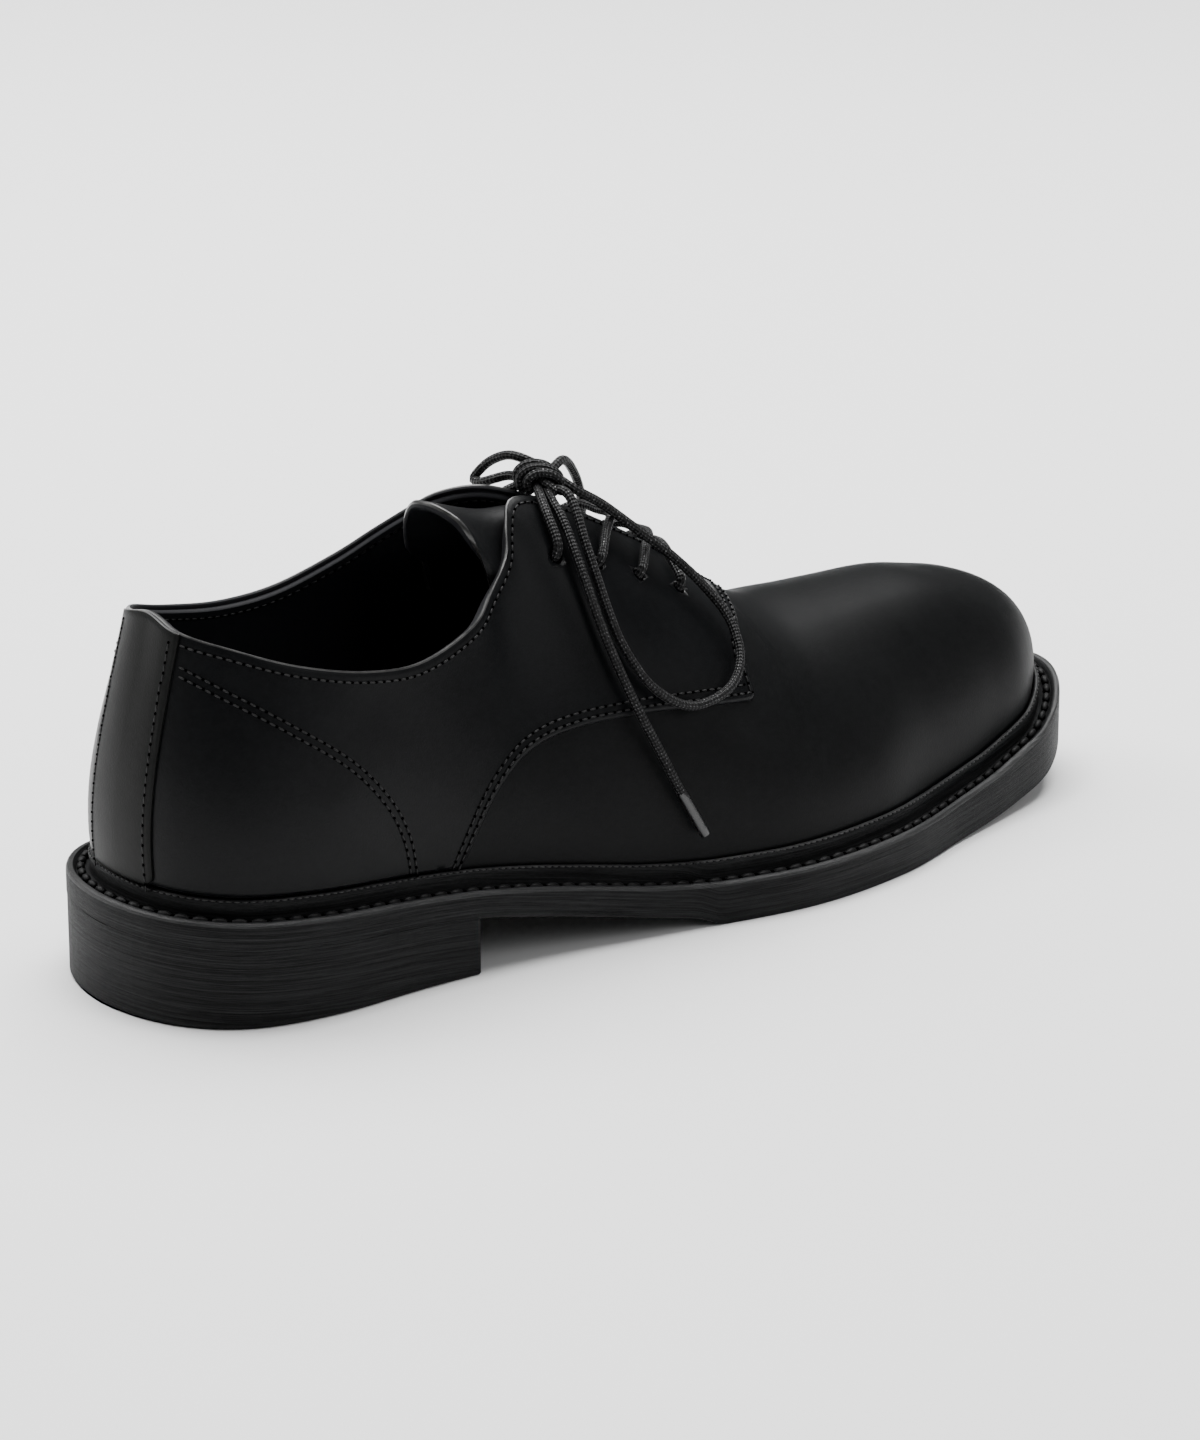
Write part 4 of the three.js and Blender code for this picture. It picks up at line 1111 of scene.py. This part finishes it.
def stitch_tree():
    tree = bpy.data.node_groups.new("row_of_stitches", "GeometryNodeTree")
    tree.interface.new_socket("Geometry", in_out="INPUT", socket_type="NodeSocketGeometry")
    names = {}
    for name, value in (("Pitch", 0.0027), ("Length", 0.002), ("Thickness", 0.0006), ("Hole", 0.0006)):
        socket = tree.interface.new_socket(name, in_out="INPUT", socket_type="NodeSocketFloat")
        socket.default_value = value
        names[name] = socket.identifier
    for name in ("Thread", "Dark"):
        socket = tree.interface.new_socket(name, in_out="INPUT", socket_type="NodeSocketMaterial")
        names[name] = socket.identifier
    tree.interface.new_socket("Geometry", in_out="OUTPUT", socket_type="NodeSocketGeometry")
    node = tree.nodes.new
    link = tree.links.new
    given, result = node("NodeGroupInput"), node("NodeGroupOutput")
    to_curve = node("GeometryNodeMeshToCurve")
    spaced = node("GeometryNodeResampleCurve")
    spaced.mode = "LENGTH"
    tangent = node("GeometryNodeInputTangent")
    turned = node("FunctionNodeAlignRotationToVector")
    turned.axis = "Z"
    ball = node("GeometryNodeMeshUVSphere")
    ball.inputs["Segments"].default_value = 7
    ball.inputs["Rings"].default_value = 5
    ball.inputs["Radius"].default_value = 0.5
    smooth = node("GeometryNodeSetShadeSmooth")
    size, away, round_size = (node("ShaderNodeCombineXYZ") for _ in range(3))
    half = node("ShaderNodeMath")
    half.operation = "MULTIPLY"
    half.inputs[1].default_value = 0.5
    together = node("GeometryNodeJoinGeometry")
    link(given.outputs["Geometry"], to_curve.inputs["Mesh"])
    link(to_curve.outputs["Curve"], spaced.inputs["Curve"])
    link(given.outputs["Pitch"], spaced.inputs["Length"])
    link(tangent.outputs["Tangent"], turned.inputs["Vector"])
    link(ball.outputs["Mesh"], smooth.inputs["Geometry"])
    link(given.outputs["Pitch"], half.inputs[0])
    link(half.outputs[0], away.inputs[2])
    link(given.outputs["Thickness"], size.inputs[0])
    link(given.outputs["Thickness"], size.inputs[1])
    link(given.outputs["Length"], size.inputs[2])
    for axis in range(3):
        link(given.outputs["Hole"], round_size.inputs[axis])
    # Dark dots half a pitch ahead of each stitch are painted shade of the needle holes.
    for scale, shift, material in ((round_size, away, "Dark"), (size, None, "Thread")):
        shaped = node("GeometryNodeTransform")
        placed = node("GeometryNodeInstanceOnPoints")
        real = node("GeometryNodeRealizeInstances")
        painted = node("GeometryNodeSetMaterial")
        link(smooth.outputs["Geometry"], shaped.inputs["Geometry"])
        link(scale.outputs[0], shaped.inputs["Scale"])
        if shift:
            link(shift.outputs[0], shaped.inputs["Translation"])
        link(spaced.outputs["Curve"], placed.inputs["Points"])
        link(shaped.outputs["Geometry"], placed.inputs["Instance"])
        link(turned.outputs["Rotation"], placed.inputs["Rotation"])
        link(placed.outputs["Instances"], real.inputs["Geometry"])
        link(real.outputs["Geometry"], painted.inputs["Geometry"])
        link(given.outputs[material], painted.inputs["Material"])
        link(painted.outputs["Geometry"], together.inputs["Geometry"])
    link(together.outputs["Geometry"], result.inputs["Geometry"])
    return tree, names


STITCH_TREE, STITCH_INPUTS = stitch_tree()


def stitches(name, rows, material, pitch, length, thickness, hole, slot):
    points, edges = [], []
    for row in rows:
        start = len(points)
        points += [tuple((p - ORIGIN) * 0.001) for p in row]
        edges += [(start + n, start + n + 1) for n in range(len(row) - 1)]
    mesh = bpy.data.meshes.new(name)
    mesh.from_pydata(points, edges, [])
    piece = bpy.data.objects.new(name, mesh)
    bpy.context.scene.collection.objects.link(piece)
    modifier = piece.modifiers.new("rows", "NODES")
    modifier.node_group = STITCH_TREE
    given = {
        "Pitch": pitch, "Length": length, "Thickness": thickness,
        "Hole": hole, "Thread": material, "Dark": HOLE_PAINTED_SHADE,
    }
    for key, value in given.items():
        modifier[STITCH_INPUTS[key]] = value
    depsgraph = bpy.context.evaluated_depsgraph_get()
    depsgraph.update()
    made = bpy.data.meshes.new_from_object(piece.evaluated_get(depsgraph))
    piece.modifiers.clear()
    piece.data = made
    bpy.data.meshes.remove(mesh)
    return settle(piece, slot)


stitches("upper_stitches", stitch_rows(), THREAD, 0.00235, 0.0017, 0.0005, 0.00072, "upper_leather")


# The sole
def edge_ring(inset):
    return inset_edge(station_side, station_row, inset)


def slab(inset, low, high, levels, bevel, top_bevel=0.05, rings=(0.06, 0.2, 0.45, 0.75, 1.0)):
    """A plate with the sole's outline. Its rings close on a line along its middle."""
    edge = edge_ring(inset)
    partner = edge[(-np.arange(STATIONS)) % STATIONS]
    middle = (edge + partner) / 2
    rows, rise = [], []

    def add(plan, height):
        rows.append(np.concatenate([plan, height[:, None]], 1))
        rise.append(height - tread(plan[:, 1]))

    for share in rings[::-1]:
        plan = edge + (middle - edge) * share
        add(plan, low(plan[:, 1]))
    inside = edge_ring(inset + bevel)
    add(inside, low(inside[:, 1]))
    base, top = low(edge[:, 1]), high(edge[:, 1])
    for share in np.linspace(0, 1, levels):
        add(edge, base + bevel + (top - base - bevel - top_bevel) * share)
    inside = edge_ring(inset + top_bevel)
    add(inside, high(inside[:, 1]))
    for share in rings:
        plan = edge + (middle - edge) * share
        add(plan, high(plan[:, 1]))
    count = len(rows)
    points = np.stack(rows, 1).reshape(-1, 3)
    faces = [
        (i * count + k, (i + 1) % STATIONS * count + k, (i + 1) % STATIONS * count + k + 1, i * count + k + 1)
        for i in range(STATIONS)
        for k in range(count - 1)
    ]
    return points, faces, np.stack(rise, 1).ravel()


def trim(piece, y, keep_rear=True):
    """Cuts a closed piece square across and closes the cut."""
    shape = bmesh.new()
    shape.from_mesh(piece.data)
    plane = Vector((0, (y - ORIGIN[1]) * 0.001, 0))
    normal = Vector((0, 1 if keep_rear else -1, 0))
    cuts = bmesh.ops.bisect_plane(
        shape,
        geom=shape.verts[:] + shape.edges[:] + shape.faces[:],
        plane_co=plane,
        plane_no=normal,
        clear_outer=True,
    )
    edges = [e for e in cuts["geom_cut"] if isinstance(e, bmesh.types.BMEdge)]
    bmesh.ops.holes_fill(shape, edges=edges, sides=0)
    bmesh.ops.triangulate(shape, faces=[f for f in shape.faces if len(f.verts) > 4])
    shape.to_mesh(piece.data)
    shape.free()
    piece.data.set_sharp_from_angle(angle=math.radians(40))


plate, plate_faces, plate_rise = slab(0, tread, lambda y: outsole_top(y) + CLEARANCE * 0.9, 7, 0.25)
outsole = make_piece("outsole_slab", plate, plate_faces, [RUBBER], rise=plate_rise)
settle(outsole, "sole_rubber", "outsole")
block, block_faces, block_rise = slab(0.12, lambda y: np.zeros(len(y)), lambda y: tread(y) + 0.05, 8, 0.7)
heel = make_piece("heel_block", block, block_faces, [RUBBER], rise=block_rise)
trim(heel, HEEL_BREAST)
settle(heel, "sole_rubber", "heel")
bed, bed_faces, bed_rise = slab(
    WELT_REACH + WELT_TUCK + CLEARANCE, lambda y: outsole_top(y) - 1, lambda y: seat(y), 3, 0.2
)
settle(make_piece("outsole_bed", bed, bed_faces, [RUBBER], rise=bed_rise), "sole_rubber")
sock, sock_faces, _ = slab(
    WELT_REACH + UPPER_WALL + CLEARANCE,
    lambda y: seat(y) + CLEARANCE,
    lambda y: seat(y) + CLEARANCE + INSOLE_THICKNESS,
    4, 0.3, 0.4,
)
settle(make_piece("insole_sock", sock, sock_faces, [INSOLE_LEATHER]), "insole_leather", "insole")


def welt_sections():
    """Rings of the welt: underside, rounded edge, stitched groove and the lip that leans on the upper."""
    out = outward(station_side, station_row)
    foot = inset_edge(station_side, station_row, WELT_REACH)
    base = seat(foot[:, 1])
    rise = last[:, :, 2] - last[:, :1, 2]

    def at(distance, z):
        return np.concatenate([foot + out * np.asarray(distance).reshape(-1, 1), np.asarray(z)[:, None]], 1)

    def top(distance):
        return seat(foot[:, 1] + out[:, 1] * distance)

    def lean(height):
        place = np.array([
            [np.interp(height, rise[i], last[i, :, k]) for k in range(2)] for i in range(STATIONS)
        ])
        return CLEARANCE + ((place - foot) * out).sum(1)

    root, crest = lean(1.2), lean(WELT_LIP)
    reach = np.full(STATIONS, 1.0)
    thick = WELT_THICKNESS + CLEARANCE
    return [
        at(-WELT_TUCK * reach, top(-WELT_TUCK) - WELT_THICKNESS),
        at((WELT_REACH - 0.1) * reach, top(WELT_REACH - 0.1) - thick),
        at(WELT_REACH * reach, top(WELT_REACH) - thick + 0.05),
        at(WELT_REACH * reach, top(WELT_REACH) - 2.2),
        at(WELT_REACH * reach, top(WELT_REACH) - 1.0),
        at((WELT_REACH - 0.25) * reach, top(WELT_REACH) - 0.4),
        at((WELT_REACH - 0.9) * reach, top(WELT_REACH - 0.9) - 0.02),
        at((WELT_REACH - 1.7) * reach, top(WELT_REACH - 1.7) - 0.02),
        at((WELT_REACH - 2.1) * reach, top(WELT_REACH - 2.1) - 0.7),
        at((WELT_REACH - 2.5) * reach, top(WELT_REACH - 2.5) - 1.4),
        at((WELT_REACH - 4.3) * reach, top(WELT_REACH - 4.3) - 1.4),
        at(root + WELT_LIP_THICKNESS + 0.25, base - 1.0),
        at(root + WELT_LIP_THICKNESS, base + 0.3),
        at((root + crest) / 2 + WELT_LIP_THICKNESS, base + 2.0),
        at(crest + WELT_LIP_THICKNESS, base + WELT_LIP - 0.9),
        at(crest + WELT_LIP_THICKNESS - 0.3, base + WELT_LIP - 0.3),
        at(crest + WELT_LIP_THICKNESS - 0.75, base + WELT_LIP),
        at(crest + 0.35, base + WELT_LIP - 0.05),
        at(crest + 0.1, base + WELT_LIP - 0.5),
        at(root, base + 1.2),
        at(CLEARANCE * reach, base),
        at(-WELT_TUCK * reach, top(-WELT_TUCK)),
    ]


def welt_piece(rings):
    count = len(rings)
    points = np.stack(rings, 1).reshape(-1, 3)
    faces = [
        (
            i * count + k,
            (i + 1) % STATIONS * count + k,
            (i + 1) % STATIONS * count + (k + 1) % count,
            i * count + (k + 1) % count,
        )
        for i in range(STATIONS)
        for k in range(count)
    ]
    rise = points[:, 2] - tread(points[:, 1])
    parts = [int(k in (4, 5, 6, 15, 16)) for _ in range(STATIONS) for k in range(count)]
    welt = make_piece("storm_welt", points, faces, [RUBBER, WELT_RIM], parts, rise=rise, sharp=55)
    return settle(welt, "sole_rubber", "welt")


welt_rings = welt_sections()
welt_piece(welt_rings)


def welt_row():
    foot = inset_edge(station_side, station_row, WELT_REACH - 4.4)
    height = seat(foot[:, 1]) - 0.75
    ring = np.concatenate([foot, height[:, None]], 1)
    return even(np.concatenate([ring, ring[:1]]), 1.5)


stitches("welt_stitches", [welt_row()], WELT_THREAD, 0.0046, 0.0042, 0.0022, 0.0014, "sole_rubber")
# Short dashes along the lip's crest, lighter than the rubber: a painted highlight of its top edge.
lip_row = even(np.concatenate([welt_rings[15], welt_rings[15][:1]]), 1.0)
stitches("welt_lip_marks", [lip_row], LIP_MARK_PAINTED_HIGHLIGHT, 0.0019, 0.0012, 0.00045, 0.0003, "sole_rubber")


# The tongue, under the facings and up to its arch above the collar
def tongue_sheet():
    depth = UPPER_WALL + 2 * CLEARANCE
    lines = []
    for side, table in ((-1, TONGUE[:0:-1]), (1, TONGUE)):
        for across, along, rise, neck, under in table:
            if side < 0:
                rise -= 0.62 * max(across - 0.03, 0) * (across < 0.138)
            top = [side * across * BALL_WIDTH, along * SOLE_LENGTH, rise * UPPER_HEIGHT]
            dip = [side * (across + under) * BALL_WIDTH / 2, TONGUE_NECK * SOLE_LENGTH, neck * UPPER_HEIGHT]
            laid = [instep(side * under * BALL_WIDTH, share * SOLE_LENGTH, -depth) for share in TONGUE_ALONG]
            lines.append(centripetal([top, dip, *laid], 42))
    lines = np.array(lines)
    fine = np.array([smooth_line(lines[:, j], 4) for j in range(lines.shape[1])]).transpose(1, 0, 2)
    n, m = fine.shape[:2]
    across = np.gradient(fine, axis=0)
    along = np.gradient(fine, axis=1)
    normal = unit(np.cross(along, across))
    normal *= np.where(normal[n // 2, m // 2, 2] > 0, 1, -1)
    rim = np.zeros_like(fine)
    rim[:, 0] = unit(fine[:, 0] - fine[:, 1])
    rim[0] = unit(fine[0] - fine[1])
    rim[-1] = unit(fine[-1] - fine[-2])
    rows = np.concatenate([fine, normal, rim, np.full((n, m, 1), 9.0)], -1).reshape(-1, 10)
    faces = [
        [i * m + k, (i + 1) * m + k, (i + 1) * m + k + 1, i * m + k + 1]
        for i in range(n - 1)
        for k in range(m - 1)
    ]
    a, b, c = (rows[v, :3] for v in faces[len(faces) // 2][:3])
    if np.cross(b - a, c - b) @ rows[faces[len(faces) // 2][0], 3:6] < 0:
        faces = [face[::-1] for face in faces]
    return rows, faces


tongue = thicken(*tongue_sheet(), 0.0, -TONGUE_THICKNESS, 0.0, 0.6)
leaf = make_piece("tongue_leaf", tongue[0], tongue[1], [TONGUE_LEATHER, EDGE, LINING], tongue[2])
settle(leaf, "upper_leather", "tongue")


# Studio
def studio_floor():
    finish = Finish("studio_paper", Roughness=0.9, Specular_IOR_Level=0.1)
    place = finish.place()
    tone = finish.noise(place, 3.0, 2.0, 0.5)
    finish.use("Base Color", finish.colour(tone, (0.87, 0.87, 0.87), (0.89, 0.89, 0.89)))
    size = 6.0
    mesh = bpy.data.meshes.new("floor")
    corners = [(-size, -size, 0), (size, -size, 0), (size, size, 0), (-size, size, 0)]
    mesh.from_pydata(corners, [], [(0, 1, 2, 3)])
    mesh.materials.append(finish.material)
    floor = bpy.data.objects.new("floor", mesh)
    bpy.context.scene.collection.objects.link(floor)


def soft_light(name, place, target, width, height, power):
    light = bpy.data.lights.new(name, "AREA")
    light.shape = "RECTANGLE"
    light.size = width
    light.size_y = height
    light.energy = power
    lamp = bpy.data.objects.new(name, light)
    lamp.location = place
    lamp.rotation_euler = (Vector(target) - Vector(place)).to_track_quat("-Z", "Y").to_euler()
    bpy.context.scene.collection.objects.link(lamp)


studio_floor()
soft_light("overhead", (-0.5, 0.5, 1.9), (0, 0.1, 0), 2.0, 2.0, 128)
soft_light("rear_left", (-1.2, -0.6, 1.1), (0, 0.05, 0.05), 1.2, 1.0, 22)
soft_light("front_fill", (1.6, 0.9, 1.2), (0, 0.1, 0.03), 1.4, 1.2, 10)
world = bpy.data.worlds.new("studio_air")
bpy.context.scene.world = world
world.use_nodes = True
world.node_tree.nodes["Background"].inputs["Color"].default_value = (0.9, 0.91, 0.92, 1)
world.node_tree.nodes["Background"].inputs["Strength"].default_value = 0.2
